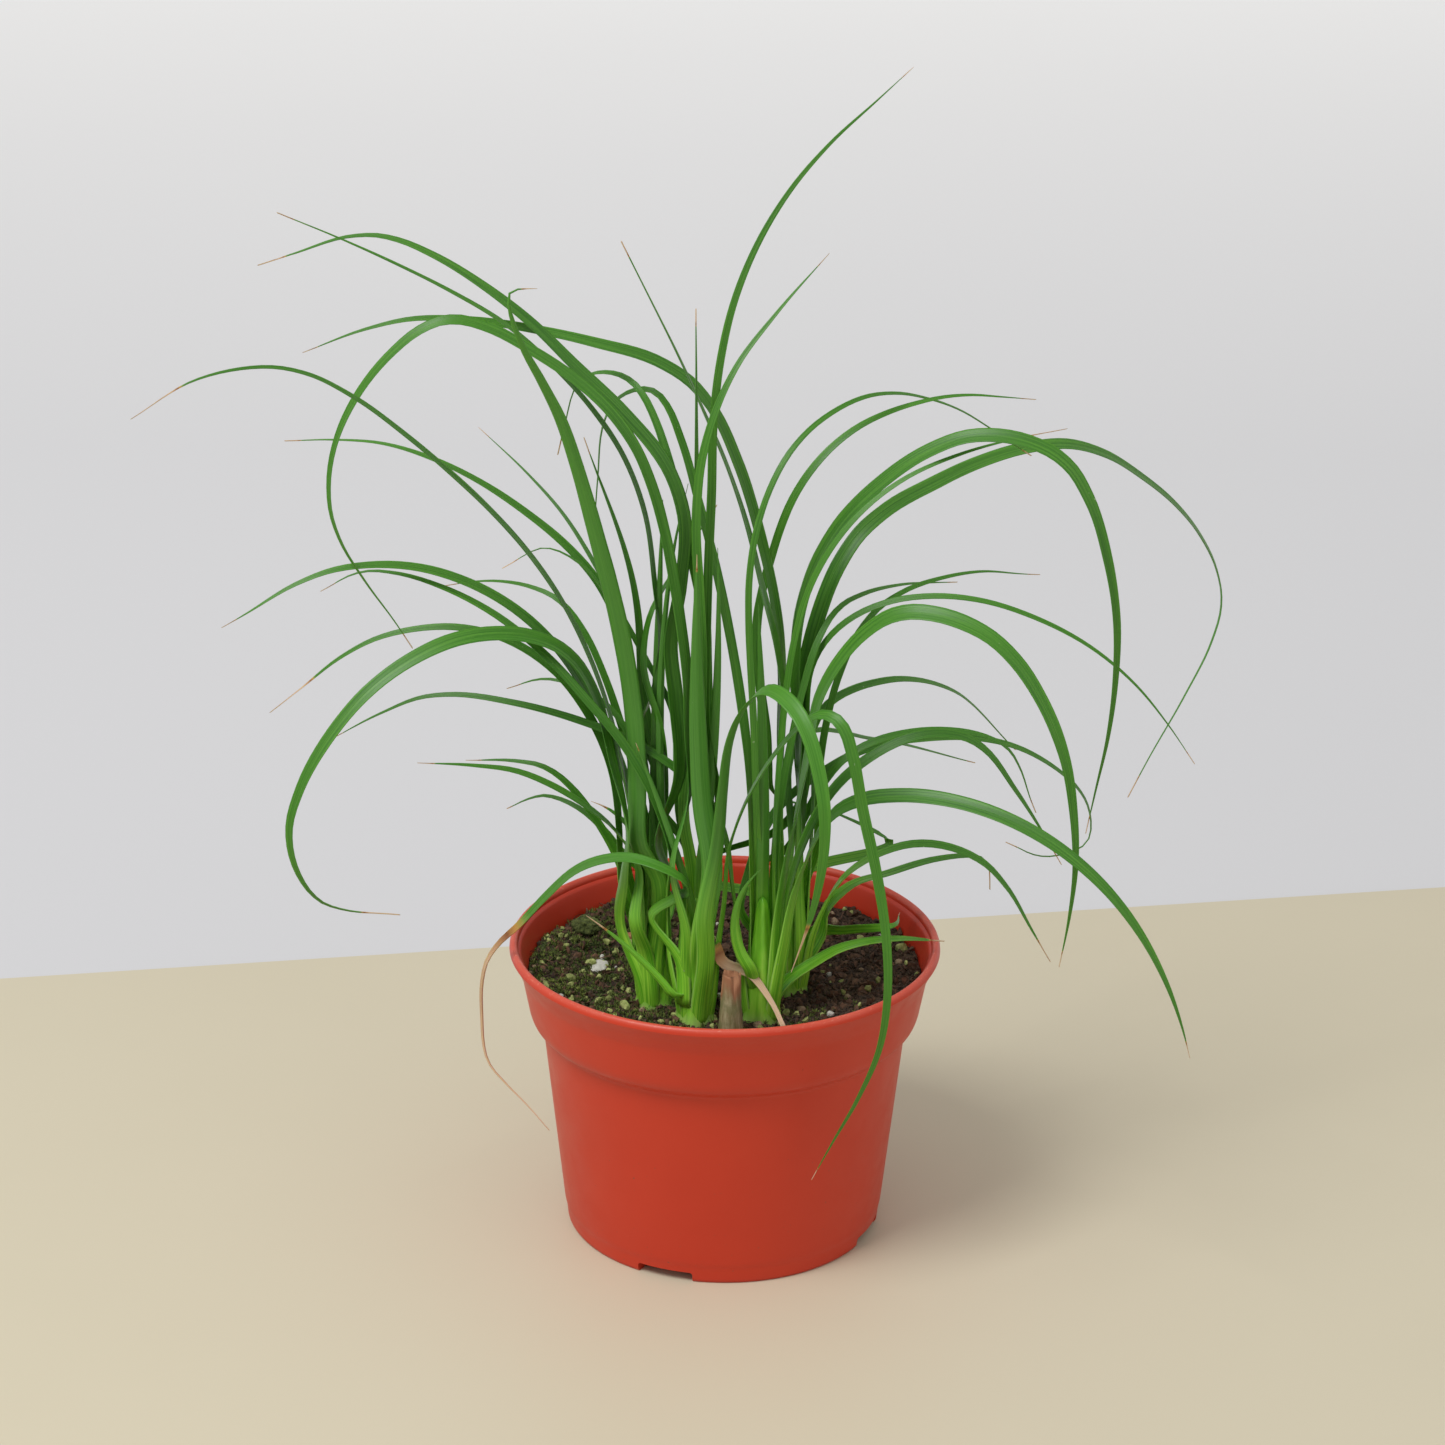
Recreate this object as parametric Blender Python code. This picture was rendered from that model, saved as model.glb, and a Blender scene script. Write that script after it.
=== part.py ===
"""A young ponytail palm in its nursery pot.

Metres, +Z up. The origin is the centre of the pot's foot, on the surface that the pot stands on.
The plant is four leafy shoots and an old stump, set in the potting soil. Each leaf is one strap-like
blade: it rises beside its shoot, arches over and ends in a long point.
"""

import math
from collections import namedtuple

import bmesh
import bpy
from mathutils import Vector, noise
from mathutils.bvhtree import BVHTree

MM = 0.001
GAP = 0.3 * MM  # clearance between pieces that touch
UP = Vector((0.0, 0.0, 1.0))

# Pot: one moulding with a stepped collar, a flared rim, a raised floor and a notched foot ring.
POT_HEIGHT = 75.0 * MM
RIM_RADIUS = 54.0 * MM
FOOT_RADIUS = 39.5 * MM
WALL = 1.4 * MM
RIM_WIDTH = 2.7 * MM
LIP_REACH = 3.6 * MM
LIP_HEIGHT = 7.5 * MM
COLLAR_HEIGHT = 17.5 * MM
COLLAR_TAPER = 1.9 * MM
STEP_WIDTH = 3.2 * MM
STEP_HEIGHT = 3.6 * MM
FOOT_LINE_HEIGHT = 5.0 * MM
FOOT_LINE_DEPTH = 0.25 * MM
FLOOR_HEIGHT = 5.0 * MM
FOOT_RING_WIDTH = 3.0 * MM
POT_SIDES = 64
NOTCH_COUNT = 4
NOTCH_ANGLE = math.radians(21.0)
NOTCH_HEIGHT = 2.6 * MM
NOTCH_TURN = math.radians(-111.0)
DRAIN_COUNT = 6
DRAIN_RADIUS = 4.0 * MM
DRAIN_CIRCLE = 24.0 * MM
DRAIN_TURN = math.radians(13.0)

# Soil: fills the pot to a little under the rim, with a low mound round the shoots and a bank along
# the wall at the back and the sides.
SOIL_BELOW_RIM = 12.0 * MM
SOIL_MOUND = 2.5 * MM
SOIL_BANK = 5.5 * MM
BANK_START = 0.5  # share of the rim's radius at which the bank begins to rise
BANK_TOP = 0.86
SOIL_ROUGHNESS = 1.1 * MM
SOIL_LUMP = 9.0 * MM
SOIL_SIDES = 40
SOIL_RINGS = 7
SOIL_LEVEL = POT_HEIGHT - SOIL_BELOW_RIM

# Shoots: the swollen base sits in the soil, and the stalk tapers up between the leaves.
SHOOT_RADIUS = 4.3 * MM
SHOOT_TOP_RADIUS = 1.3 * MM
SHOOT_HEIGHT = 31.0 * MM
SHOOT_DEPTH = 11.0 * MM
SHOOT_SWELL = 1.3
SHOOT_SIDES = 12
STUMP_PLACE = Vector((1.5 * MM, -31.0 * MM, 0.0))
STUMP_RADIUS = 3.2 * MM
STUMP_HEIGHT = 17.0 * MM
SHOOTS = {
    "a": Vector((-17.0 * MM, -12.0 * MM, 0.0)),
    "b": Vector((-7.0 * MM, -21.0 * MM, 0.0)),
    "c": Vector((9.0 * MM, -20.0 * MM, 0.0)),
    "d": Vector((16.0 * MM, -4.0 * MM, 0.0)),
}

# Leaves
LEAF_THICKNESS = 0.8 * MM
LEAF_CHANNEL = 0.12  # depth of the channel along a blade, as a share of its width
FOLIAGE_SCALE = 1.0  # how far the blades reach and rise, against the sizes in LEAVES
TIER_START = 5.0 * MM  # height above the soil at which the outermost leaves leave the stalk
TIER_RISE = 6.5 * MM
SEAT_CLEARANCE = 0.5 * MM
STATION_STEP = 13.0 * MM
BEND_STEP = math.radians(12.0)
TURN_STEP = math.radians(18.0)  # most that a blade's face turns between two stations
HOLD_LENGTH = 8.0 * MM  # a blade is held by its stalk up to here, and is free to move aside
FREE_LENGTH = 30.0 * MM  # beyond here
FACING_LENGTH = 70.0 * MM  # from here on, a blade faces the way that it heads
LIGHT = Vector((0.0, -0.9, 0.44))  # where the light comes from, to which the blades turn their faces
LIGHT_TURN = math.radians(50.0)  # most that a blade turns for it
BODY_START = 0.7  # a blade's width at its base, as a share of its greatest width
TAPER = 3.2  # how late a blade narrows towards its tip
PUSH = 0.3 * MM
PUSH_SPREAD = 16.0 * MM
MOST_ROUNDS = 900

Leaf = namedtuple("Leaf", "shoot tier seat heading width twist points")

# Each leaf: its shoot, its tier on the stalk (0 is the outermost), the side of the stalk that it
# grows from and the way that it heads (degrees from +X, anticlockwise), its width (mm), its twist
# from base to tip (degrees), and the points that it passes: reach along its heading, rise above
# the soil and, on a few, drift to the left of its heading (mm).
LEAVES = (
    # Shoot a, at the left
    Leaf("a", 2, 200, 196, 2.5, 10, ((1, 70), (4, 132), (30, 169), (60, 189), (86, 202))),
    Leaf("a", 1, 210, 208, 2.6, 0,
         ((3, 50), (24, 108), (56, 147), (88, 171), (110, 172), (126, 165))),
    Leaf("a", 2, 130, 168, 2.8, 20, ((2, 60), (12, 105), (40, 129), (66, 138), (90, 137))),
    Leaf("a", 1, 262, 215, 4.8, 40,
         ((3, 50), (8, 90), (16, 122), (26, 153), (37, 174), (39, 184), (32, 184))),
    Leaf("a", 2, 70, 160, 3.0, 30, ((1, 60), (6, 108), (18, 142))),
    Leaf("a", 2, 0, 10, 3.6, -40, ((0, 45), (-2, 92), (5, 112), (14, 127))),
    Leaf("a", 1, 160, 192, 3.4, 0, ((3, 45), (24, 95), (50, 114), (76, 116), (101, 104))),
    Leaf("a", 1, 100, 150, 2.2, 0, ((6, 60), (25, 98), (44, 101), (60, 97))),
    Leaf("a", 0, 170, 178, 2.6, 0, ((4, 50), (22, 85), (42, 96), (66, 93), (91, 74))),
    Leaf("a", 0, 220, 202, 4.4, 0,
         ((3, 45), (22, 94), (46, 101), (72, 89), (89, 60), (82, 41), (62, 34))),
    Leaf("a", 0, 250, 200, 2.6, 0, ((3, 28), (12, 49), (32, 65), (58, 71))),
    Leaf("a", 0, 120, 165, 2.4, 0, ((3, 22), (10, 40), (26, 58), (47, 58))),
    Leaf("a", 0, 70, 150, 2.0, 0, ((6, 25), (18, 43), (32, 47), (44, 41))),
    # Shoot b, in the middle
    Leaf("b", 1, 180, 172, 4.5, 15, ((1, 70), (5, 134), (31, 165), (49, 180), (74, 191), (102, 183))),
    Leaf("b", 1, 230, 184, 3.6, 0,
         ((2, 90), (14, 145), (38, 168), (58, 175), (79, 155), (84, 130), (66, 97))),
    Leaf("b", 2, 140, 135, 1.6, 0, ((3, 60), (20, 90), (42, 115), (58, 125), (76, 133))),
    Leaf("b", 3, 100, 100, 2.6, 60, ((1, 60), (2, 115), (4, 176))),
    Leaf("b", 3, 20, 38, 2.4, 20, ((1, 80), (3, 145), (11, 180), (28, 203), (62, 225))),
    Leaf("b", 2, 20, 30, 3.0, 0, ((0, 70), (1, 133), (8, 160), (34, 186))),
    Leaf("b", 2, 80, 140, 3.0, 0, ((2, 80), (6, 130), (20, 156), (36, 154), (44, 134))),
    Leaf("b", 1, 284, 265, 5.2, 20, ((2, 50), (3, 90), (4, 120))),
    Leaf("b", 0, 180, 180, 2.8, 0, ((4, 50), (30, 89), (54, 108), (76, 114), (87, 109))),
    Leaf("b", 1, 130, 155, 2.2, 0, ((5, 40), (22, 74), (38, 81), (50, 77))),
    Leaf("b", 0, 340, -40, 3.2, 0,
         ((3, 25), (8, 49), (21, 73), (36, 88), (42, 87), (48, 68), (54, 38), (51, 10), (33, -32))),
    Leaf("b", 0, 290, -55, 4.8, 0,
         ((4, 20), (9, 55), (15, 81), (28, 94), (41, 91), (50, 72), (47, 50), (37, 28))),
    # Shoot c, at the right front
    Leaf("c", 3, 160, 150, 2.6, 0, ((4, 70), (17, 125), (30, 153), (42, 148), (47, 115))),
    Leaf("c", 0, 190, 172, 2.4, 0, ((3, 30), (14, 58), (40, 73), (78, 79), (104, 66))),
    Leaf("c", 2, 90, 40, 1.8, 0, ((-3, 70), (-4, 122), (8, 143), (30, 151), (55, 145), (84, 127))),
    Leaf("c", 2, 10, 12, 2.0, 0, ((2, 60), (10, 110), (26, 131), (48, 141), (71, 145))),
    Leaf("c", 1, 325, -20, 4.8, 0,
         ((3, 35), (9, 65), (15, 90), (32, 108), (54, 105), (70, 84), (75, 52), (71, 26))),
    Leaf("c", 1, 60, 48, 2.0, 0, ((6, 60), (24, 97), (46, 99), (71, 94))),
    Leaf("c", 1, 20, 5, 3.0, 0, ((4, 35), (16, 60), (34, 72), (48, 71), (60, 56), (70, 38))),
    Leaf("c", 0, 320, -24, 4.2, 0,
         ((6, 35), (18, 58), (40, 65), (66, 61), (87, 47), (100, 26), (104, 12))),
    Leaf("c", 0, 20, 15, 3.0, 0, ((6, 10), (14, 15), (26, 17), (42, 15))),
    # Shoot d, at the right back
    Leaf("d", 3, 190, 188, 4.2, 0, ((2, 60), (9, 120), (25, 156), (54, 168), (90, 173), (114, 166))),
    Leaf("d", 2, 210, 200, 4.6, 30, ((1, 45), (4, 85), (12, 122), (26, 157), (43, 192))),
    Leaf("d", 2, 110, 22, 2.6, 0, ((-4, 60), (-6, 105), (0, 128), (14, 142), (38, 148), (62, 145))),
    Leaf("d", 1, 320, -12, 4.6, 0,
         ((0, 60), (1, 99), (12, 124), (40, 145), (62, 141), (74, 115), (76, 85), (70, 49))),
    Leaf("d", 2, 30, 34, 4.0, 0,
         ((0, 50), (4, 90), (18, 115), (47, 125), (82, 127), (108, 113), (127, 94), (134, 74), (104, 28))),
    Leaf("d", 1, 8, -5, 1.9, 0,
         ((1, 50), (4, 88), (16, 100), (38, 104), (64, 96), (82, 82), (95, 64))),
    Leaf("d", 1, 60, 35, 2.0, 0, ((4, 55), (22, 93), (48, 99), (75, 94))),
    Leaf("d", 1, 136, 40, 2.4, 0, ((2, 40), (10, 70), (30, 74), (54, 66), (78, 44))),
    Leaf("d", 0, 86, 15, 2.2, 0, ((3, 40), (14, 60), (34, 65), (54, 59), (63, 40))),
    Leaf("d", 0, 160, 25, 2.2, 0,
         ((4, 38), (18, 58), (42, 60), (66, 53), (86, 36), (88, 24), (76, 22), (64, 28))),
    Leaf("d", 0, 230, 50, 1.8, 0, ((0, 42), (9, 64), (34, 57), (78, 38))),
    Leaf("d", 0, 340, 8, 2.6, 0, ((3, 18), (11, 31), (28, 38), (45, 32), (61, 5))),
    Leaf("d", 0, 20, 28, 2.6, 0, ((6, 14), (16, 22), (28, 26), (42, 27), (52, 24), (53, 16))),
    Leaf("d", 0, 65, 48, 2.4, 0, ((5, 11), (12, 14), (22, 14))),
)

# The drooping blade hangs over the pot's rim, and the dry strip lies across the soil in front.
RIM_RISE = (POT_HEIGHT - SOIL_LEVEL) / MM
RIM_REACH = RIM_RADIUS / MM - 8.0  # from shoot b, along the drooping blade's heading
DROOPING_LEAF = Leaf(
    "b", 0, 216, 165, 3.0, 0,
    (
        (0, 30), (6, RIM_RISE + 30), (15, RIM_RISE + 34), (26, RIM_RISE + 27),
        (RIM_REACH - 6, RIM_RISE + 10), (RIM_REACH + 3, RIM_RISE - 2), (RIM_REACH + 4, -7, 1),
        (RIM_REACH + 2, -15, 4), (RIM_REACH - 8, -21, 10), (RIM_REACH - 17, -25, 17),
    ),
)
DRY_STRIP = Leaf("b", 2, 300, -40, 2.2, 0, ((4, 22), (6, 17), (12, 11), (18, 7), (23, 5)))

# Loose pieces that lie on the soil: place as shares of the rim's radius, size along each axis (mm) and
# turn (degrees).
Scrap = namedtuple("Scrap", "place size turn")
BARK_CHIP = Scrap((-0.454, 0.444), (7.0, 3.2, 2.4), 20)
HUSK = Scrap((-0.583, 0.148), (8.0, 4.0, 1.6), 60)
MOSS_CUSHION = Scrap((-0.65, 0.435), (9.0, 7.0, 5.0), -35)
SCRAP_SINK = 0.35  # share of a scrap's height that is pressed into the soil

COLOURS = {
    "pot_red": ((0.55, 0.06, 0.025), 0.45),
    "soil_dark": ((0.035, 0.022, 0.014), 0.95),
    "leaf_green": ((0.06, 0.20, 0.03), 0.45),
    "shoot_green": ((0.20, 0.45, 0.05), 0.4),
    "dry_tan": ((0.45, 0.28, 0.14), 0.8),
    "bark_brown": ((0.30, 0.12, 0.05), 0.9),
    "husk_white": ((0.70, 0.68, 0.60), 0.7),
    "moss_green": ((0.07, 0.10, 0.02), 1.0),
}


def clear_scene():
    for obj in list(bpy.data.objects):
        bpy.data.objects.remove(obj, do_unlink=True)


def material(name):
    found = bpy.data.materials.get(name)
    if found:
        return found
    colour, roughness = COLOURS[name]
    made = bpy.data.materials.new(name)
    made.use_nodes = True
    shader = made.node_tree.nodes["Principled BSDF"]
    shader.inputs["Base Color"].default_value = (*colour, 1.0)
    shader.inputs["Roughness"].default_value = roughness
    shader.inputs["Metallic"].default_value = 0.0
    return made


def polar(radius, angle, z=0.0):
    return Vector((radius * math.cos(angle), radius * math.sin(angle), z))


def ramp(x, start, end):
    """0 before start, 1 after end, and smooth between them."""
    t = min(1.0, max(0.0, (x - start) / (end - start)))
    return t * t * (3.0 - 2.0 * t)


def loft_faces(ring_count, sides, first, last):
    """Faces of a loft: quads between rings, and at each end a pole (the point's number) or a cap."""
    faces = []
    for i in range(ring_count - 1):
        for j in range(sides):
            k = (j + 1) % sides
            a, b = i * sides, (i + 1) * sides
            faces.append((a + j, a + k, b + k, b + j))
    last_ring = (ring_count - 1) * sides
    for j in range(sides):
        k = (j + 1) % sides
        if first is not None:
            faces.append((first, k, j))
        if last is not None:
            faces.append((last, last_ring + j, last_ring + k))
    if first is None:
        faces.append(tuple(reversed(range(sides))))
    if last is None:
        faces.append(tuple(range(last_ring, last_ring + sides)))
    return faces


def loft(name, rings, material_name, first=None, last=None):
    """A closed solid through the rings. first and last are points that close it at its ends."""
    points = [p for ring in rings for p in ring]
    poles = []
    for pole in (first, last):
        poles.append(None if pole is None else len(points))
        if pole is not None:
            points.append(pole)
    mesh = bpy.data.meshes.new(name)
    mesh.from_pydata(points, [], loft_faces(len(rings), len(rings[0]), *poles))
    shape = bmesh.new()
    shape.from_mesh(mesh)
    bmesh.ops.recalc_face_normals(shape, faces=shape.faces)
    shape.to_mesh(mesh)
    shape.free()
    mesh.shade_smooth()
    mesh.set_sharp_from_angle(angle=math.radians(40.0))
    mesh.materials.append(material(material_name))
    obj = bpy.data.objects.new(name, mesh)
    bpy.context.scene.collection.objects.link(obj)
    return obj


def cutter(obj):
    obj.hide_render = True
    obj.display_type = "WIRE"
    return obj


def cut(obj, tool):
    boolean = obj.modifiers.new("cut_" + tool.name, "BOOLEAN")
    boolean.operation = "DIFFERENCE"
    boolean.solver = "EXACT"
    boolean.object = cutter(tool)


# Pot


def pot_outer():
    """The pot's outer side, from the foot up, as (radius, height)."""
    collar_top = RIM_RADIUS - LIP_REACH
    collar_low = collar_top - COLLAR_TAPER
    shoulder = collar_low - STEP_WIDTH
    step_z = POT_HEIGHT - COLLAR_HEIGHT - STEP_HEIGHT
    line_radius = FOOT_RADIUS + (shoulder - FOOT_RADIUS) * FOOT_LINE_HEIGHT / step_z
    return [
        (FOOT_RADIUS - FOOT_LINE_DEPTH, 0.0),
        (line_radius - FOOT_LINE_DEPTH, FOOT_LINE_HEIGHT - 2.0 * FOOT_LINE_DEPTH),
        (line_radius, FOOT_LINE_HEIGHT),
        (shoulder, step_z),
        (shoulder + 0.35 * STEP_WIDTH, step_z + 0.12 * STEP_HEIGHT),
        (shoulder + 0.8 * STEP_WIDTH, step_z + 0.5 * STEP_HEIGHT),
        (collar_low, step_z + STEP_HEIGHT),
        (collar_top, POT_HEIGHT - LIP_HEIGHT),
        (collar_top + 0.4 * LIP_REACH, POT_HEIGHT - 0.55 * LIP_HEIGHT),
        (RIM_RADIUS - 0.1 * LIP_REACH, POT_HEIGHT - 0.15 * LIP_HEIGHT),
        (RIM_RADIUS - 0.25 * LIP_REACH, POT_HEIGHT),
    ]


def pot_inner():
    """The pot's inner side, from the rim down to the floor, as (radius, height)."""
    collar_top = RIM_RADIUS - LIP_REACH - WALL
    collar_low = collar_top - COLLAR_TAPER
    shoulder = collar_low - STEP_WIDTH
    step_z = POT_HEIGHT - COLLAR_HEIGHT - STEP_HEIGHT
    floor_radius = FOOT_RADIUS - WALL + (shoulder - FOOT_RADIUS + WALL) * FLOOR_HEIGHT / step_z
    return [
        (RIM_RADIUS - RIM_WIDTH, POT_HEIGHT),
        (collar_top + 0.3 * LIP_REACH, POT_HEIGHT - 0.45 * LIP_HEIGHT),
        (collar_top, POT_HEIGHT - LIP_HEIGHT),
        (collar_low, POT_HEIGHT - COLLAR_HEIGHT + 0.3 * WALL),
        (shoulder, step_z),
        (floor_radius, FLOOR_HEIGHT),
    ]


def radius_at(profile, z):
    """The radius of an outline at a height, on the straight run that spans it."""
    for (r0, z0), (r1, z1) in zip(profile, profile[1:]):
        if min(z0, z1) <= z <= max(z0, z1) and z0 != z1:
            return r0 + (r1 - r0) * (z - z0) / (z1 - z0)
    return profile[-1][0]


def turned_ring(radius, z, sides):
    return [polar(radius, 2.0 * math.pi * i / sides, z) for i in range(sides)]


def make_pot():
    ring_inner = FOOT_RADIUS - FOOT_RING_WIDTH
    underside = FLOOR_HEIGHT - WALL
    outline = [(ring_inner - WALL, underside), (ring_inner, 0.0)] + pot_outer() + pot_inner()
    rings = [turned_ring(r, z, POT_SIDES) for r, z in outline]
    pot = loft("nursery_pot", rings, "pot_red", Vector((0, 0, underside)), Vector((0, 0, FLOOR_HEIGHT)))
    for i in range(NOTCH_COUNT):
        cut(pot, foot_notch(i))
    for i in range(DRAIN_COUNT):
        cut(pot, drain_hole(i))
    return pot


def foot_notch(i):
    """A wedge that opens the foot ring, through to the hollow under the floor."""
    middle = NOTCH_TURN + 2.0 * math.pi * i / NOTCH_COUNT
    near = FOOT_RADIUS - FOOT_RING_WIDTH - 2.0 * WALL
    far = FOOT_RADIUS + 2.0 * WALL
    rings = []
    for z in (-WALL, NOTCH_HEIGHT):
        low, high = middle - NOTCH_ANGLE / 2.0, middle + NOTCH_ANGLE / 2.0
        rings.append([polar(near, low, z), polar(far, low, z), polar(far, high, z), polar(near, high, z)])
    return loft(f"notch_cutter_{i}", rings, "pot_red")


def drain_hole(i):
    centre = polar(DRAIN_CIRCLE, DRAIN_TURN + 2.0 * math.pi * i / DRAIN_COUNT)
    rings = []
    for z in (FLOOR_HEIGHT - 2.0 * WALL, FLOOR_HEIGHT + WALL):
        rings.append([centre + p for p in turned_ring(DRAIN_RADIUS, z, 16)])
    return loft(f"drain_cutter_{i}", rings, "pot_red")


# Soil


def soil_top(x, y):
    """Height of the soil's surface at a place."""
    out = math.hypot(x, y) / RIM_RADIUS
    mound = SOIL_MOUND * (ramp(1.0 - out, 0.1, 0.8) - 0.6)
    bank = SOIL_BANK * ramp(out, BANK_START, BANK_TOP) * ramp(y / RIM_RADIUS, -0.6, 0.0)
    lumps = noise.noise(Vector((x, y, 0.0)) / SOIL_LUMP) * SOIL_ROUGHNESS
    return SOIL_LEVEL + mound + bank + lumps


def soil_side(angle, gap):
    """The soil's edge at an angle: where its surface meets the pot's inner wall."""
    wall = pot_inner()
    radius = radius_at(wall, SOIL_LEVEL) - gap
    for _ in range(3):
        edge = polar(radius, angle)
        radius = radius_at(wall, soil_top(edge.x, edge.y)) - gap
    return polar(radius, angle, soil_top(edge.x, edge.y))


def make_soil(scraps, shoots):
    edge = [soil_side(2.0 * math.pi * i / SOIL_SIDES, GAP) for i in range(SOIL_SIDES)]
    rings = []
    for r, z in reversed(pot_inner()[3:]):
        rings.append(turned_ring(r - GAP, z + GAP, SOIL_SIDES))
    for share in [1.0 - i / SOIL_RINGS for i in range(SOIL_RINGS)]:
        ring = [Vector((p.x * share, p.y * share, 0.0)) for p in edge]
        rings.append([Vector((p.x, p.y, soil_top(p.x, p.y))) for p in ring])
    middle = Vector((0.0, 0.0, soil_top(0.0, 0.0)))
    soil = loft("potting_soil", rings, "soil_dark", rings_centre(rings[0]), middle)
    for tool in scraps + shoots:
        cut(soil, tool)
    return soil


def rings_centre(ring):
    return sum(ring, Vector()) / len(ring)


# Shoots


def stalk_radius(rise):
    """The stalk's radius at a height above the soil; below it, the base swells and then closes."""
    if rise < 0.0:
        depth = -rise / SHOOT_DEPTH
        return SHOOT_RADIUS * (1.0 + (SHOOT_SWELL - 1.0) * math.sin(math.pi * min(1.0, 1.4 * depth)))
    share = min(1.0, rise / SHOOT_HEIGHT)
    return SHOOT_RADIUS + (SHOOT_TOP_RADIUS - SHOOT_RADIUS) * share**1.3


def stalk_rings(place, radius_of, bottom, top, levels, gap):
    """Rings of a stalk with shallow flutes, where the sheaths of its leaves wrap round it."""
    rings = []
    for i in range(levels + 1):
        rise = bottom + (top - bottom) * i / levels
        centre = place + UP * (SOIL_LEVEL + rise)
        ring = []
        for j in range(SHOOT_SIDES):
            angle = 2.0 * math.pi * j / SHOOT_SIDES
            flute = 1.0 - 0.05 * (j % 2)
            ring.append(centre + polar(radius_of(rise) * flute + gap, angle))
        rings.append(ring)
    return rings


def make_shoot(letter, gap=0.0):
    place = SHOOTS[letter]
    rings = stalk_rings(place, stalk_radius, -SHOOT_DEPTH, SHOOT_HEIGHT, 8, gap)
    foot = place + UP * (SOIL_LEVEL - SHOOT_DEPTH - 0.3 * SHOOT_RADIUS - gap)
    tip = place + UP * (SOIL_LEVEL + SHOOT_HEIGHT + SHOOT_TOP_RADIUS + gap)
    name = f"shoot_{letter}" if gap == 0.0 else f"shoot_pit_{letter}"
    return loft(name, rings, "shoot_green", foot, tip)


def stump_radius(rise):
    return STUMP_RADIUS * (1.0 - 0.25 * ramp(rise, 0.0, STUMP_HEIGHT))


def make_stump(gap=0.0):
    """The dead base of an old shoot: a short stalk with a sunken top."""
    rings = stalk_rings(STUMP_PLACE, stump_radius, -0.6 * SHOOT_DEPTH, STUMP_HEIGHT, 5, gap)
    rim = rings_centre(rings[-1])
    foot = rings_centre(rings[0]) - UP * (gap + 1.0 * MM)
    name = "old_stump" if gap == 0.0 else "stump_pit"
    sunken = rim - UP * (0.3 * STUMP_RADIUS) if gap == 0.0 else rim
    return loft(name, rings, "bark_brown", foot, sunken)


# Loose pieces on the soil


def make_scrap(name, scrap, material_name, gap=0.0):
    """A rounded lump or chip, pressed a little into the soil."""
    across, deep, high = (side * MM / 2.0 + gap for side in scrap.size)
    x, y = (share * RIM_RADIUS for share in scrap.place)
    lift = (0.5 - SCRAP_SINK) * scrap.size[2] * MM
    centre = Vector((x, y, soil_top(x, y) + lift))
    turn = math.radians(scrap.turn)
    rings = []
    for tilt in (-50.0, -15.0, 20.0, 55.0):
        up = math.radians(tilt)
        ring = []
        for j in range(10):
            angle = 2.0 * math.pi * j / 10
            knobs = 1.0 + 0.12 * math.cos(3.0 * angle + scrap.turn) * math.cos(up)
            flat = polar(math.cos(up) * knobs, angle)
            bulge = Vector((flat.x * across, flat.y * deep, math.sin(up) * high))
            bulge.rotate(turned(turn))
            ring.append(centre + bulge)
        rings.append(ring)
    return loft(name, rings, material_name, centre - UP * high, centre + UP * high)


def turned(angle):
    """A turn about the vertical, as a quaternion."""
    return Vector((1.0, 0.0, 0.0)).rotation_difference(polar(1.0, angle))


# Leaves


def smooth_curve(points, per_span=10):
    """A smooth curve through the points, its knots spaced by the root of the chord."""
    ends = [2.0 * points[0] - points[1]] + points + [2.0 * points[-1] - points[-2]]
    curve = [points[0]]
    for a, b, c, d in zip(ends, ends[1:], ends[2:], ends[3:]):
        t0 = 0.0
        t1 = t0 + math.sqrt((b - a).length)
        t2 = t1 + math.sqrt((c - b).length)
        t3 = t2 + math.sqrt((d - c).length)
        for i in range(1, per_span + 1):
            t = t1 + (t2 - t1) * i / per_span
            ab = a.lerp(b, (t - t0) / (t1 - t0))
            bc = b.lerp(c, (t - t1) / (t2 - t1))
            cd = c.lerp(d, (t - t2) / (t3 - t2))
            abc = ab.lerp(bc, (t - t0) / (t2 - t0))
            bcd = bc.lerp(cd, (t - t1) / (t3 - t1))
            curve.append(abc.lerp(bcd, (t - t1) / (t2 - t1)))
    return curve


def stations(curve, step):
    """The curve's points thinned: closer where it bends, a step apart where it runs straight."""
    kept = [curve[0]]
    run, bend = 0.0, 0.0
    for before, here, after in zip(curve, curve[1:], curve[2:]):
        run += (here - before).length
        bend += (here - before).angle(after - here, 0.0)
        if run >= step or bend >= BEND_STEP:
            kept.append(here)
            run, bend = 0.0, 0.0
    if (kept[-1] - curve[-1]).length < 0.4 * step and len(kept) > 2:
        kept.pop()
    return kept + [curve[-1]]


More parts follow.
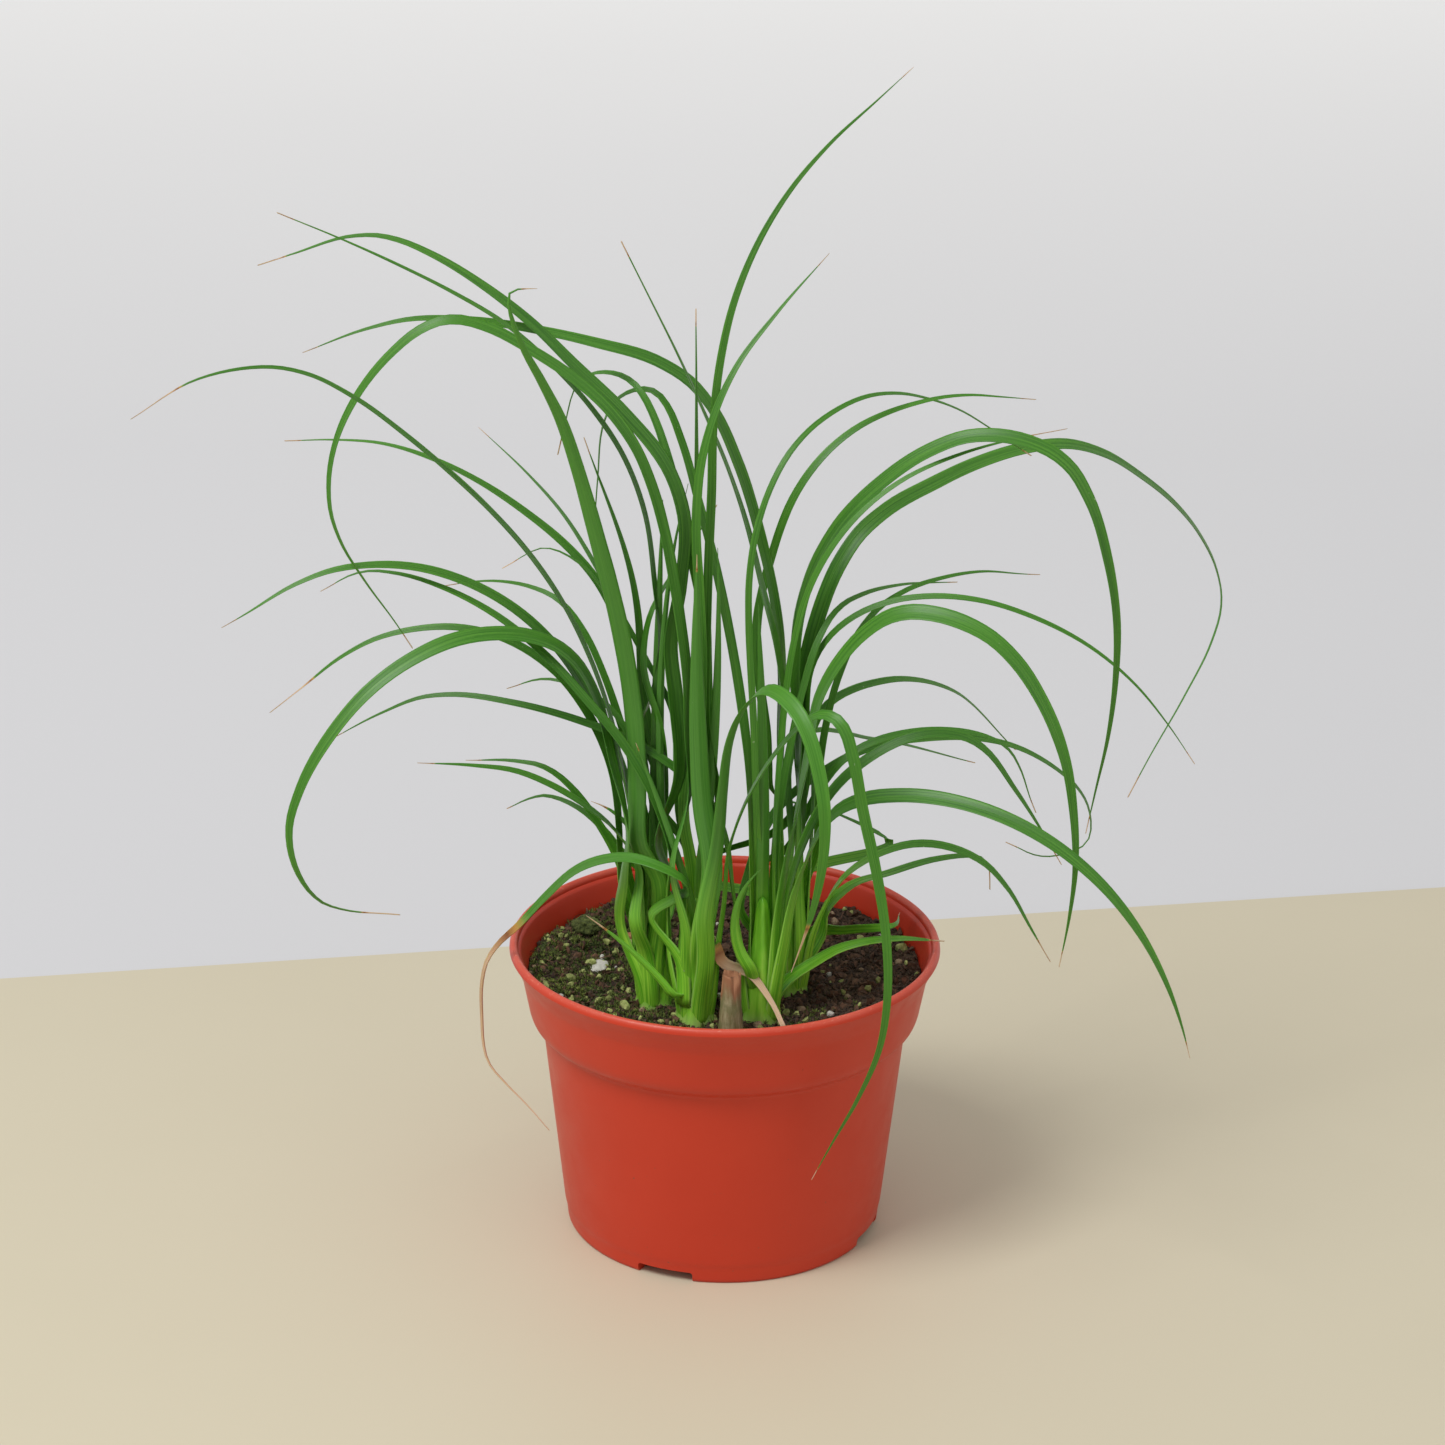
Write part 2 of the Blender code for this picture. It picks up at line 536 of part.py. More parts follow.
class Blade:
    """A leaf's centreline and cross-section, which can be moved aside and then made a solid."""

    def __init__(self, leaf):
        self.leaf = leaf
        self.seat = math.radians(leaf.seat)
        self.heading = math.radians(leaf.heading)
        start = TIER_START + TIER_RISE * leaf.tier
        hold = stalk_radius(start) + SEAT_CLEARANCE + LEAF_THICKNESS / 2.0
        base = SHOOTS[leaf.shoot] + polar(hold, self.seat, SOIL_LEVEL + start)
        ahead, left = polar(1.0, self.heading), polar(1.0, self.heading + math.pi / 2.0)
        points = [base]
        for reach, rise, *drift in leaf.points:
            side = drift[0] if drift else 0.0
            spread = hold / (1.0 + (rise / 45.0) ** 2)
            place = (ahead * reach + left * side + UP * rise) * (MM * FOLIAGE_SCALE)
            points.append(SHOOTS[leaf.shoot] + UP * SOIL_LEVEL + place + polar(spread, self.seat))
        self.turn = (self.heading - self.seat + math.pi) % (2.0 * math.pi) - math.pi
        # The steepest turn per metre that a ramp over the facing length gives
        steepest = 1.5 * (abs(self.turn) + 0.6 * LIGHT_TURN) / (FACING_LENGTH - HOLD_LENGTH)
        crowding = max(1.0, STATION_STEP * steepest / TURN_STEP)
        self.centres = stations(smooth_curve(points), STATION_STEP / crowding)
        self.runs = [0.0]
        for a, b in zip(self.centres, self.centres[1:]):
            self.runs.append(self.runs[-1] + (b - a).length)
        self.shown = 1.0  # or -1 for a blade that shows its underside to the light
        self.shown = 1.0 if self.across(len(self.centres) // 2)[1].dot(LIGHT) > 0.0 else -1.0

    def tangent(self, i):
        last = len(self.centres) - 1
        return (self.centres[min(i + 1, last)] - self.centres[max(i - 1, 0)]).normalized()

    def across(self, i):
        """Unit vectors across the blade and out of its upper side, at a station."""
        angle = self.seat + self.turn * ramp(self.runs[i], HOLD_LENGTH, FACING_LENGTH)
        along = self.tangent(i)
        side = polar(1.0, angle + math.pi / 2.0)
        side = (side - along * side.dot(along)).normalized()
        face = along.cross(side)
        twist = math.radians(self.leaf.twist) * ramp(self.runs[i], FREE_LENGTH, self.runs[-1])
        to_light = self.shown * along.dot(face.cross(LIGHT))
        twist += LIGHT_TURN * to_light * ramp(self.runs[i], HOLD_LENGTH, FACING_LENGTH)
        turned_side = side * math.cos(twist) + face * math.sin(twist)
        return turned_side, along.cross(turned_side)

    def rings(self, swell=0.0):
        """Four points round the blade at each station but the last, which is its tip."""
        rings = []
        for i, centre in enumerate(self.centres[:-1]):
            share = self.runs[i] / self.runs[-1]
            body = (BODY_START + (1.0 - BODY_START) * ramp(share, 0.0, 0.2)) * (1.0 - share**TAPER)
            half = self.leaf.width * MM * body / 2.0
            thick = LEAF_THICKNESS * (1.0 - 0.5 * share) / 2.0 + swell
            side, face = self.across(i)
            dip = face * (2.0 * half * LEAF_CHANNEL)
            half += swell
            rings.append([centre + side * half + dip, centre + face * thick,
                          centre - side * half + dip, centre - face * thick])
        return rings

    def tree(self):
        """The blade's surface, swollen by the clearance, for finding what it touches."""
        rings = self.rings(GAP)
        points = [p for ring in rings for p in ring] + [self.centres[-1]]
        faces = loft_faces(len(rings), 4, None, len(points) - 1)
        return BVHTree.FromPolygons(points, faces)

    def station_of(self, face):
        """The station before a face; the cap at the base comes last in the list of faces."""
        return face // 4 if face < 4 * (len(self.centres) - 1) else 0

    def box(self):
        reach = self.leaf.width * MM
        low = [min(p[k] for p in self.centres) - reach for k in range(3)]
        high = [max(p[k] for p in self.centres) + reach for k in range(3)]
        return low, high

    def push(self, at, move):
        """Moves the blade aside round a station, less and less away from it, and not where it is held."""
        for i, run in enumerate(self.runs):
            near = math.exp(-(((run - self.runs[at]) / PUSH_SPREAD) ** 2))
            self.centres[i] = self.centres[i] + move * (near * ramp(run, HOLD_LENGTH, FREE_LENGTH))


def boxes_meet(a, b):
    return all(a[0][k] < b[1][k] and b[0][k] < a[1][k] for k in range(3))


def parting(a, i, b, j):
    """Unit vector along which blade a at station i moves away from blade b at station j."""
    gap = a.centres[i] - b.centres[j]
    along = a.tangent(i)
    normal = along.cross(b.tangent(j))
    if normal.length < 0.25:
        normal = gap - along * gap.dot(along)
    normal = normal.normalized() if normal.length > 1e-9 else a.across(i)[1]
    return -normal if normal.dot(gap) < 0.0 else normal


def part_pair(a, b, hits):
    """Moves two touching blades apart at the middle of where they touch."""
    i = sorted(a.station_of(face) for face, _ in hits)[len(hits) // 2]
    j = sorted(b.station_of(face) for _, face in hits)[len(hits) // 2]
    move = parting(a, i, b, j) * PUSH
    a.push(i, move)
    b.push(j, -move)


def clear_of_solid(blade, tree, solid):
    """Moves a blade off a fixed solid. Returns whether it touched."""
    hits = tree.overlap(solid)
    for at in sorted({blade.station_of(face) for face, _ in hits}):
        nearest, normal, _, _ = solid.find_nearest(blade.centres[at])
        blade.push(at, normal * PUSH)
    return bool(hits)


def settle(blades, solids):
    """Moves the blades aside until none touches another, the pot, the soil or a stalk."""
    for _ in range(MOST_ROUNDS):
        trees = [blade.tree() for blade in blades]
        boxes = [blade.box() for blade in blades]
        touching = 0
        for i, a in enumerate(blades):
            for solid in solids:
                touching += clear_of_solid(a, trees[i], solid)
            for j in range(i):
                if not boxes_meet(boxes[i], boxes[j]):
                    continue
                hits = trees[i].overlap(trees[j])
                if hits:
                    touching += 1
                    part_pair(a, blades[j], hits)
        if not touching:
            return


def tree_of(obj):
    graph = bpy.context.evaluated_depsgraph_get()
    return BVHTree.FromObject(obj, graph)


def make_leaf(name, blade, material_name):
    return loft(name, blade.rings(), material_name, None, blade.centres[-1])


def main():
    clear_scene()
    pot = make_pot()
    shoots = [make_shoot(letter) for letter in SHOOTS]
    stump = make_stump()
    scraps = [
        make_scrap("bark_chip", BARK_CHIP, "bark_brown"),
        make_scrap("husk", HUSK, "husk_white"),
        make_scrap("moss_cushion", MOSS_CUSHION, "moss_green"),
    ]
    pits = [
        make_scrap("bark_pit", BARK_CHIP, "soil_dark", GAP),
        make_scrap("husk_pit", HUSK, "soil_dark", GAP),
        make_scrap("moss_pit", MOSS_CUSHION, "soil_dark", GAP),
    ]
    sockets = [make_shoot(letter, GAP) for letter in SHOOTS] + [make_stump(GAP)]
    soil = make_soil(pits, sockets)
    bpy.context.view_layer.update()
    solids = [tree_of(obj) for obj in [pot, soil, stump] + shoots + scraps]
    blades = [Blade(leaf) for leaf in LEAVES] + [Blade(DROOPING_LEAF), Blade(DRY_STRIP)]
    settle(blades, solids)
    count = {letter: 0 for letter in SHOOTS}
    for blade in blades[:-2]:
        letter = blade.leaf.shoot
        count[letter] += 1
        make_leaf(f"leaf_{letter}{count[letter]:02d}", blade, "leaf_green")
    make_leaf("drooping_leaf", blades[-2], "dry_tan")
    make_leaf("dry_strip", blades[-1], "dry_tan")


main()
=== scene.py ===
"""Looks of the potted ponytail palm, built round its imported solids.

Metres, +Z up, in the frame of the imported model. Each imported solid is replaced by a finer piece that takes
its place and its sizes from it: the pot is turned again with rounded corners, the soil gets a broken
surface and loose litter, and each leaf is lofted anew along its own solid's stations.
"""

import math
from collections import namedtuple

import bmesh
import bpy
import numpy as np
from mathutils import Matrix, Vector, kdtree, noise
from mathutils.bvhtree import BVHTree


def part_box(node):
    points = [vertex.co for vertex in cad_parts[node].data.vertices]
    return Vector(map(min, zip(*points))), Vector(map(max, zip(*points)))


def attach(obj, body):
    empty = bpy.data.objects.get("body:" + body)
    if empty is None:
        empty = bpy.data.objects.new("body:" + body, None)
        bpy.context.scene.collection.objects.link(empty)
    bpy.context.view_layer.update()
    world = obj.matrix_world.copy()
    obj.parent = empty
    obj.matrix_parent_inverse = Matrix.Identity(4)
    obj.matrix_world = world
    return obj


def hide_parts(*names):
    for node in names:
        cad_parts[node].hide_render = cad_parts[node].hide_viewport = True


MM = 0.001
UP = Vector((0.0, 0.0, 1.0))

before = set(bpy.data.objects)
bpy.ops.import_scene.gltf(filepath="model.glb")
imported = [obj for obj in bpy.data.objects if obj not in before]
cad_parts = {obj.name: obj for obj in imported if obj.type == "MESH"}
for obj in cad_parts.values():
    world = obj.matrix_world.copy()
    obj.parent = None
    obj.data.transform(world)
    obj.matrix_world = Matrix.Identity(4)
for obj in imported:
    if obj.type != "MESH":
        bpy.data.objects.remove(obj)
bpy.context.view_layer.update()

# Camera: a long lens looking down at the plant.
CAMERA_PLACE = Vector((-0.001, -0.841, 0.453))
CAMERA_AIM = Vector((-0.001, 0.0, 0.132))
CAMERA_ROLL = math.radians(0.44)
CAMERA_LENS = 92.7
SENSOR = 36.0

# Table: how far behind the pot's middle its back edge is, at two places across
EDGE_ACROSS = 0.36
EDGE_LEFT = 0.108
EDGE_RIGHT = 0.233
TABLE_REACH = 3.0
BACKDROP_REACH = 12.0
BACKDROP_DROP = 2.0 * MM  # how far the backdrop is below the table

# Pot
POT_STEPS = 160
POT_COLUMNS = 192
RIM_STEPS = 10
FILLET = 0.9 * MM
FOOT_STEP_Z = 1.3 * MM  # height at which the foot ring is measured
FOOT_RING_WIDTH = 3.0 * MM
HOLE_COLUMNS = 32
SHARP_ANGLE = math.radians(38.0)

# Soil
SOIL_COLUMNS = 220
SOIL_ROWS = 84
SOIL_WALL_ROWS = 8
SOIL_GAP = 0.25 * MM
LITTER_GRID = 90  # points along each side of the ground that litter lies on
STALK_CLEARANCE = 4.6 * MM  # how far from a stalk's middle the litter starts

# Leaves
STATION_STEP = 2.4 * MM
BLADE_POINTS = 10  # points across each side of a blade
BLADE_THICKNESS = 0.42 * MM
EDGE_THICKNESS = 0.10 * MM
CHANNEL_ANGLE = 0.36  # half angle of a blade's arched cross-section, radians
SHEATH_ANGLE = 0.95  # the same where the blade wraps its stalk
SHEATH_LENGTH = 26.0 * MM
SHEATH_SHARE = 0.48  # how much of half the way round the stalk a leaf's base wraps
NARROWEST = 0.12 * MM

# Stalks and stump
STALK_LEVELS = 60
STALK_COLUMNS = 48
STUMP_LEVELS = 44
STUMP_COLUMNS = 40


# ---------------------------------------------------------------- small helpers


def ramp(x, start, end):
    """0 before start, 1 after end, and smooth between them; takes arrays as well."""
    t = np.clip((x - start) / (end - start), 0.0, 1.0)
    return t * t * (3.0 - 2.0 * t)


def polar(radius, angle, z=0.0):
    return Vector((radius * math.cos(angle), radius * math.sin(angle), z))


def wobble(place, size, seed=0.0):
    """Smooth noise from -1 to 1 with lumps of about the given size."""
    return noise.noise(Vector(place) / size + Vector((seed * 7.3, seed * 3.1, seed * 5.7)))


def new_piece(name, points, faces, material=None, smooth=True):
    mesh = bpy.data.meshes.new(name)
    mesh.from_pydata([tuple(p) for p in points], [], faces)
    mesh.validate()
    mesh.update()
    if smooth:
        mesh.shade_smooth()
    if material:
        mesh.materials.append(material)
    obj = bpy.data.objects.new(name, mesh)
    bpy.context.scene.collection.objects.link(obj)
    return obj


def keep(piece, slot, *nodes):
    """The piece rides on the one body and stands for the given nodes; slot is not used."""
    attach(piece, "root")
    if nodes:
        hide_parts(*nodes)
    return piece


def plain_mesh(obj):
    """Turns an object with modifiers into a plain mesh object of the same name."""
    graph = bpy.context.evaluated_depsgraph_get()
    mesh = bpy.data.meshes.new_from_object(obj.evaluated_get(graph))
    obj.modifiers.clear()
    obj.data = mesh
    return obj


def recalculate(obj):
    shape = bmesh.new()
    shape.from_mesh(obj.data)
    bmesh.ops.remove_doubles(shape, verts=shape.verts, dist=1e-7)
    bmesh.ops.recalc_face_normals(shape, faces=shape.faces)
    shape.to_mesh(obj.data)
    shape.free()


def set_values(obj, name, values):
    layer = obj.data.attributes.new(name, "FLOAT", "POINT")
    layer.data.foreach_set("value", np.asarray(values, np.float32))


def grid_faces(rows, columns, closed=True):
    """Quads of a grid of points, row by row; a closed grid joins its last column to its first."""
    faces = []
    for i in range(rows - 1):
        for j in range(columns if closed else columns - 1):
            k = (j + 1) % columns
            faces.append((i * columns + j, i * columns + k, (i + 1) * columns + k, (i + 1) * columns + j))
    return faces


def tube_solid(name, rings, material):
    """A closed solid through rings of points, with a fan over each end."""
    columns = len(rings[0])
    points = [p for ring in rings for p in ring]
    faces = grid_faces(len(rings), columns)
    for ring, turn in ((0, True), (len(rings) - 1, False)):
        middle = sum((Vector(p) for p in rings[ring]), Vector()) / columns
        points.append(middle)
        for j in range(columns):
            a, b = ring * columns + j, ring * columns + (j + 1) % columns
            faces.append((len(points) - 1, b, a) if turn else (len(points) - 1, a, b))
    return new_piece(name, points, faces, material)


# ---------------------------------------------------------------- materials


class Finish:
    """A material under construction: short calls for the nodes that this object's finishes use."""

    def __init__(self, name):
        self.material = bpy.data.materials.new(name)
        self.material.use_nodes = True
        self.tree = self.material.node_tree
        self.shader = self.tree.nodes["Principled BSDF"]
        self.object = self.node("ShaderNodeTexCoord").outputs["Object"]

    def node(self, kind, values=(), **settings):
        made = self.tree.nodes.new(kind)
        for name, value in settings.items():
            setattr(made, name, value)
        for socket, value in dict(values).items():
            self.put(made.inputs[socket], value)
        return made

    def put(self, socket, value):
        if isinstance(value, bpy.types.NodeSocket):
            self.tree.links.new(value, socket)
        else:
            socket.default_value = value

    def noise(self, scale, detail=3.0, roughness=0.55, vector=None):
        made = self.node("ShaderNodeTexNoise", {"Scale": scale, "Detail": detail, "Roughness": roughness})
        self.put(made.inputs["Vector"], vector or self.object)
        return made.outputs["Fac"]

    def stretched(self, scale, vector=None):
        """Coordinates scaled unevenly, for streaks."""
        made = self.node("ShaderNodeMapping", {"Scale": scale})
        self.put(made.inputs["Vector"], vector or self.object)
        return made.outputs["Vector"]

    def ramp(self, fac, *stops):
        """A colour or grey ramp through (place, colour) stops."""
        made = self.node("ShaderNodeValToRGB", {"Fac": fac})
        elements = made.color_ramp.elements
        while len(elements) < len(stops):
            elements.new(0.5)
        for element, (place, colour) in zip(elements, stops):
            element.position = place
            element.color = (*colour, 1.0) if isinstance(colour, tuple) else (colour, colour, colour, 1.0)
        return made.outputs["Color"]

    def mix(self, fac, a, b, blend="MIX"):
        made = self.node("ShaderNodeMix", data_type="RGBA", blend_type=blend)
        for socket, value in ((0, fac), (6, a), (7, b)):
            if isinstance(value, tuple):
                value = (*value, 1.0)
            self.put(made.inputs[socket], value)
        return made.outputs[2]

    def math(self, operation, *values):
        made = self.node("ShaderNodeMath", operation=operation)
        for socket, value in zip(made.inputs, values):
            self.put(socket, value)
        return made.outputs[0]

    def value(self, name):
        """A value that the piece's mesh carries."""
        return self.node("ShaderNodeAttribute", attribute_name=name).outputs["Fac"]

    def bump(self, height, strength, distance, under=None):
        made = self.node("ShaderNodeBump", {"Height": height, "Strength": strength, "Distance": distance})
        if under:
            self.put(made.inputs["Normal"], under)
        return made.outputs["Normal"]

    def finish(self, **inputs):
        for name, value in inputs.items():
            self.put(self.shader.inputs[name.replace("_", " ")], value)
        return self.material


def pot_plastic():
    """Satin terracotta-red plastic: faint cloudiness, a pale rim that is partly scuff wear and partly painted
    highlight, and a little dust in the corners.
    """
    f = Finish("pot_plastic")
    cloud = f.noise(38.0, 4.0)
    body = f.mix(cloud, (0.50, 0.029, 0.008), (0.58, 0.040, 0.012))
    scuff = f.ramp(f.noise(900.0, 5.0, 0.7, f.stretched((1.0, 1.0, 3.0))), (0.56, 0.0), (0.72, 1.0))
    # The top of the rim is painted paler all round as a painted highlight, and paler still where the scuff
    # noise is strong, for scuff wear.
    edge = f.math("MULTIPLY", f.value("wear"), f.math("ADD", scuff, 0.35))
    colour = f.mix(f.math("MULTIPLY", edge, 0.55), body, (0.80, 0.36, 0.26))
    specks = f.ramp(f.noise(1500.0, 2.0, 0.5), (0.74, 0.0), (0.78, 1.0))
    colour = f.mix(f.math("MULTIPLY", specks, f.value("dust")), colour, (0.16, 0.07, 0.04))
    rough = f.ramp(f.noise(120.0, 4.0), (0.3, 0.36), (0.7, 0.47))
    streaks = f.noise(260.0, 3.0, 0.6, f.stretched((1.0, 1.0, 0.06)))
    height = f.bump(streaks, 0.06, 0.3 * MM, f.bump(f.noise(2600.0, 2.0), 0.05, 0.1 * MM))
    return f.finish(Base_Color=colour, Roughness=rough, Normal=height, Specular_IOR_Level=0.4)


def soil_finish(dark, light):
    """Peat in two tones, with moss growing over it."""
    f = Finish("soil")
    crumbs = f.noise(650.0, 6.0, 0.7)
    between = tuple(0.5 * (a + b) for a, b in zip(dark, light))
    peat = f.ramp(crumbs, (0.32, dark), (0.55, between), (0.74, light))
    moss = f.ramp(f.noise(1200.0, 4.0, 0.6), (0.35, (0.012, 0.018, 0.005)), (0.62, (0.07, 0.10, 0.02)),
                  (0.75, (0.20, 0.24, 0.05)))
    patch = f.ramp(f.math("ADD", f.value("moss"), f.math("MULTIPLY", f.noise(160.0, 4.0), 0.6)),
                   (0.55, 0.0), (0.8, 1.0))
    colour = f.mix(patch, peat, moss)
    height = f.bump(crumbs, 0.9, 1.0 * MM)
    return f.finish(Base_Color=colour, Roughness=0.95, Normal=height)


def grain_finish(name, dark, light, scale=900.0, roughness=0.85, bump=0.4):
    """A matt broken surface in two tones: crumbs, chips, grains and fibres."""
    f = Finish(name)
    tone = f.noise(scale, 5.0, 0.65)
    wide = f.noise(scale / 9.0, 2.0)
    colour = f.mix(f.ramp(tone, (0.35, 0.0), (0.68, 1.0)), dark, light)
    colour = f.mix(f.ramp(wide, (0.35, 0.0), (0.65, 0.5)), colour, tuple(0.45 * c for c in dark))
    return f.finish(Base_Color=colour, Roughness=roughness, Normal=f.bump(tone, bump, 0.5 * MM))


def leaf_finish():
    """Living leaf: fine veins along it, pale at its base and under it, and dry at its tip."""
    f = Finish("leaf")
    across, along = f.value("across"), f.value("along")
    tone = f.value("tone")
    line = f.node("ShaderNodeCombineXYZ", {
        "X": f.math("MULTIPLY", across, 8.0),
        "Y": f.math("MULTIPLY", along, 0.35),
        "Z": f.math("MULTIPLY", tone, 40.0),
    }).outputs[0]
    veins = f.noise(1.0, 2.0, 0.5, line)
    blotch = f.noise(90.0, 4.0, 0.6)
    green = f.mix(f.math("ADD", f.math("MULTIPLY", tone, 0.75), f.math("MULTIPLY", blotch, 0.3)),
                  (0.013, 0.075, 0.007), (0.050, 0.205, 0.012))
    green = f.mix(f.ramp(veins, (0.35, 0.0), (0.68, 0.55)), green, (0.12, 0.33, 0.035))
    green = f.mix(f.math("MULTIPLY", f.value("under"), 0.45), green, (0.085, 0.25, 0.042))
    young = f.mix(f.ramp(veins, (0.34, 0.0), (0.66, 1.0)), (0.10, 0.42, 0.012), (0.38, 0.80, 0.065))
    colour = f.mix(f.math("MULTIPLY", f.value("youth"), 0.92), green, young)
    colour = f.mix(f.value("margin"), colour, (0.34, 0.52, 0.16))
    flecks = f.ramp(f.noise(700.0, 2.0, 0.5), (0.76, 0.0), (0.80, 0.7))
    colour = f.mix(flecks, colour, (0.30, 0.42, 0.22))
    dry = f.math("ADD", f.value("dryness"), f.math("MULTIPLY", f.math("SUBTRACT", blotch, 0.5), 0.12))
    husk = f.ramp(dry, (0.30, (0.16, 0.30, 0.04)), (0.42, (0.50, 0.26, 0.05)), (0.52, (0.22, 0.075, 0.025)),
                  (0.64, (0.45, 0.25, 0.12)), (0.85, (0.66, 0.47, 0.31)))
    husk = f.mix(f.ramp(veins, (0.3, 0.0), (0.7, 0.5)), husk, (0.30, 0.15, 0.07))
    colour = f.mix(f.ramp(dry, (0.22, 0.0), (0.34, 1.0)), colour, husk)
    rough = f.ramp(f.value("dryness"), (0.2, 0.40), (0.6, 0.75))
    height = f.bump(veins, 0.35, 0.12 * MM, f.bump(f.noise(1400.0, 3.0), 0.10, 0.1 * MM))
    return f.finish(Base_Color=colour, Roughness=rough, Normal=height, Specular_IOR_Level=0.32,
                    Subsurface_Weight=0.15, Subsurface_Radius=(0.6, 1.0, 0.25), Subsurface_Scale=1.2 * MM)


def sheath_finish():
    """Fleshy stalk: bright yellow-green with long streaks, and paler at its foot about the soil."""
    f = Finish("stalk_green")
    streaks = f.noise(420.0, 3.0, 0.6, f.stretched((1.0, 1.0, 0.05)))
    colour = f.ramp(streaks, (0.30, (0.09, 0.32, 0.012)), (0.52, (0.20, 0.55, 0.028)),
                    (0.72, (0.38, 0.72, 0.08)))
    pale = f.math("MULTIPLY", f.value("paleness"), 0.7)
    colour = f.mix(pale, colour, (0.42, 0.55, 0.20))
    height = f.bump(streaks, 0.35, 0.25 * MM)
    return f.finish(Base_Color=colour, Roughness=0.38, Normal=height, Subsurface_Weight=0.3,
                    Subsurface_Radius=(0.6, 1.0, 0.2), Subsurface_Scale=2.0 * MM)


# ---------------------------------------------------------------- what the solids say


def welded_copy(node):
    shape = bmesh.new()
    shape.from_mesh(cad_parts[node].data)
    bmesh.ops.remove_doubles(shape, verts=shape.verts, dist=1e-6)
    return shape


def surface_of(node):
    shape = welded_copy(node)
    tree = BVHTree.FromBMesh(shape)
    shape.free()
    return tree


_, pot_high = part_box("nursery_pot")
POT_HEIGHT = pot_high.z
POT_REACH = pot_high.x
pot_surface = surface_of("nursery_pot")


def pot_radius(angle, z, outside=True):
    """Where the pot's wall stands at an angle and a height: its outer or its inner side, or None."""
    start = polar(2.0 * POT_REACH, angle, z) if outside else Vector((0.0, 0.0, z))
    way = polar(-1.0 if outside else 1.0, angle)
    place, _, _, _ = pot_surface.ray_cast(start, way)
    return None if place is None else math.hypot(place.x, place.y)


def notch_spans():
    """The notches in the foot ring, as (middle, half width) in radians, and their height."""
    count = 720
    foot = pot_radius(0.0, FOOT_STEP_Z)
    open_at = []
    for i in range(count):
        radius = pot_radius(2.0 * math.pi * i / count, FOOT_STEP_Z)
        open_at.append(radius is None or radius < 0.98 * foot)
    spans = []
    for i in range(count):
        if open_at[i] and not open_at[i - 1]:
            length = next(n for n in range(count) if not open_at[(i + n) % count])
            middle = 2.0 * math.pi * (i + length / 2.0 - 0.5) / count
            spans.append((middle, math.pi * length / count))
    z = FOOT_STEP_Z
    while spans and z < 0.1 * POT_HEIGHT and (pot_radius(spans[0][0], z) or 0.0) < 0.98 * foot:
        z += 0.05 * MM
    return spans, z


def drain_holes():
    """Centre and radius of each hole in the pot's floor, from the points of its solid."""
    shape = welded_copy("nursery_pot")
    inner = [v.co.copy() for v in shape.verts
             if 0.1 < v.co.xy.length / POT_REACH < 0.6 and v.co.z < 0.1 * POT_HEIGHT]
    shape.free()
    inner.sort(key=lambda p: math.atan2(p.y, p.x))
    groups = []
    for p in inner:
        if groups and (p - groups[-1][-1]).xy.length < 0.1 * POT_REACH:
            groups[-1].append(p)
        else:
            groups.append([p])
    if len(groups) > 1 and (groups[0][0] - groups[-1][-1]).xy.length < 0.1 * POT_REACH:
        groups[0] += groups.pop()
    holes = []
    for group in groups:
        low = Vector(min(p[k] for p in group) for k in range(3))
        high = Vector(max(p[k] for p in group) for k in range(3))
        holes.append(((low + high) / 2.0, (high.x - low.x) / 2.0, high.z))
    return holes


def soil_heights():
    """The soil solid's surface as a search tree of its upper points."""
    shape = welded_copy("potting_soil")
    top = [v.co.copy() for v in shape.verts if v.co.z > 0.78 * POT_HEIGHT]
    shape.free()
    tree = kdtree.KDTree(len(top))
    for i, place in enumerate(top):
        tree.insert((place.x, place.y, 0.0), i)
    tree.balance()
    return tree, top


soil_tree, soil_points = soil_heights()


def ground(x, y):
    """Height of the soil at a place, smoothed between the solid's points."""
    total = height = 0.0
    for _, i, away in soil_tree.find_n((x, y, 0.0), 7):
        weight = 1.0 / (away + 1.0 * MM) ** 2
        total += weight
        height += weight * soil_points[i].z
    return height / total


# ---------------------------------------------------------------- pot


def smoothed(values, spread):
    """Values along a line, averaged over a few neighbours, which rounds the corners of an outline."""
    kernel = np.hanning(2 * spread + 3)[1:-1]
    padded = np.concatenate([[values[0]] * spread, values, [values[-1]] * spread])
    return np.convolve(padded, kernel / kernel.sum(), mode="valid")


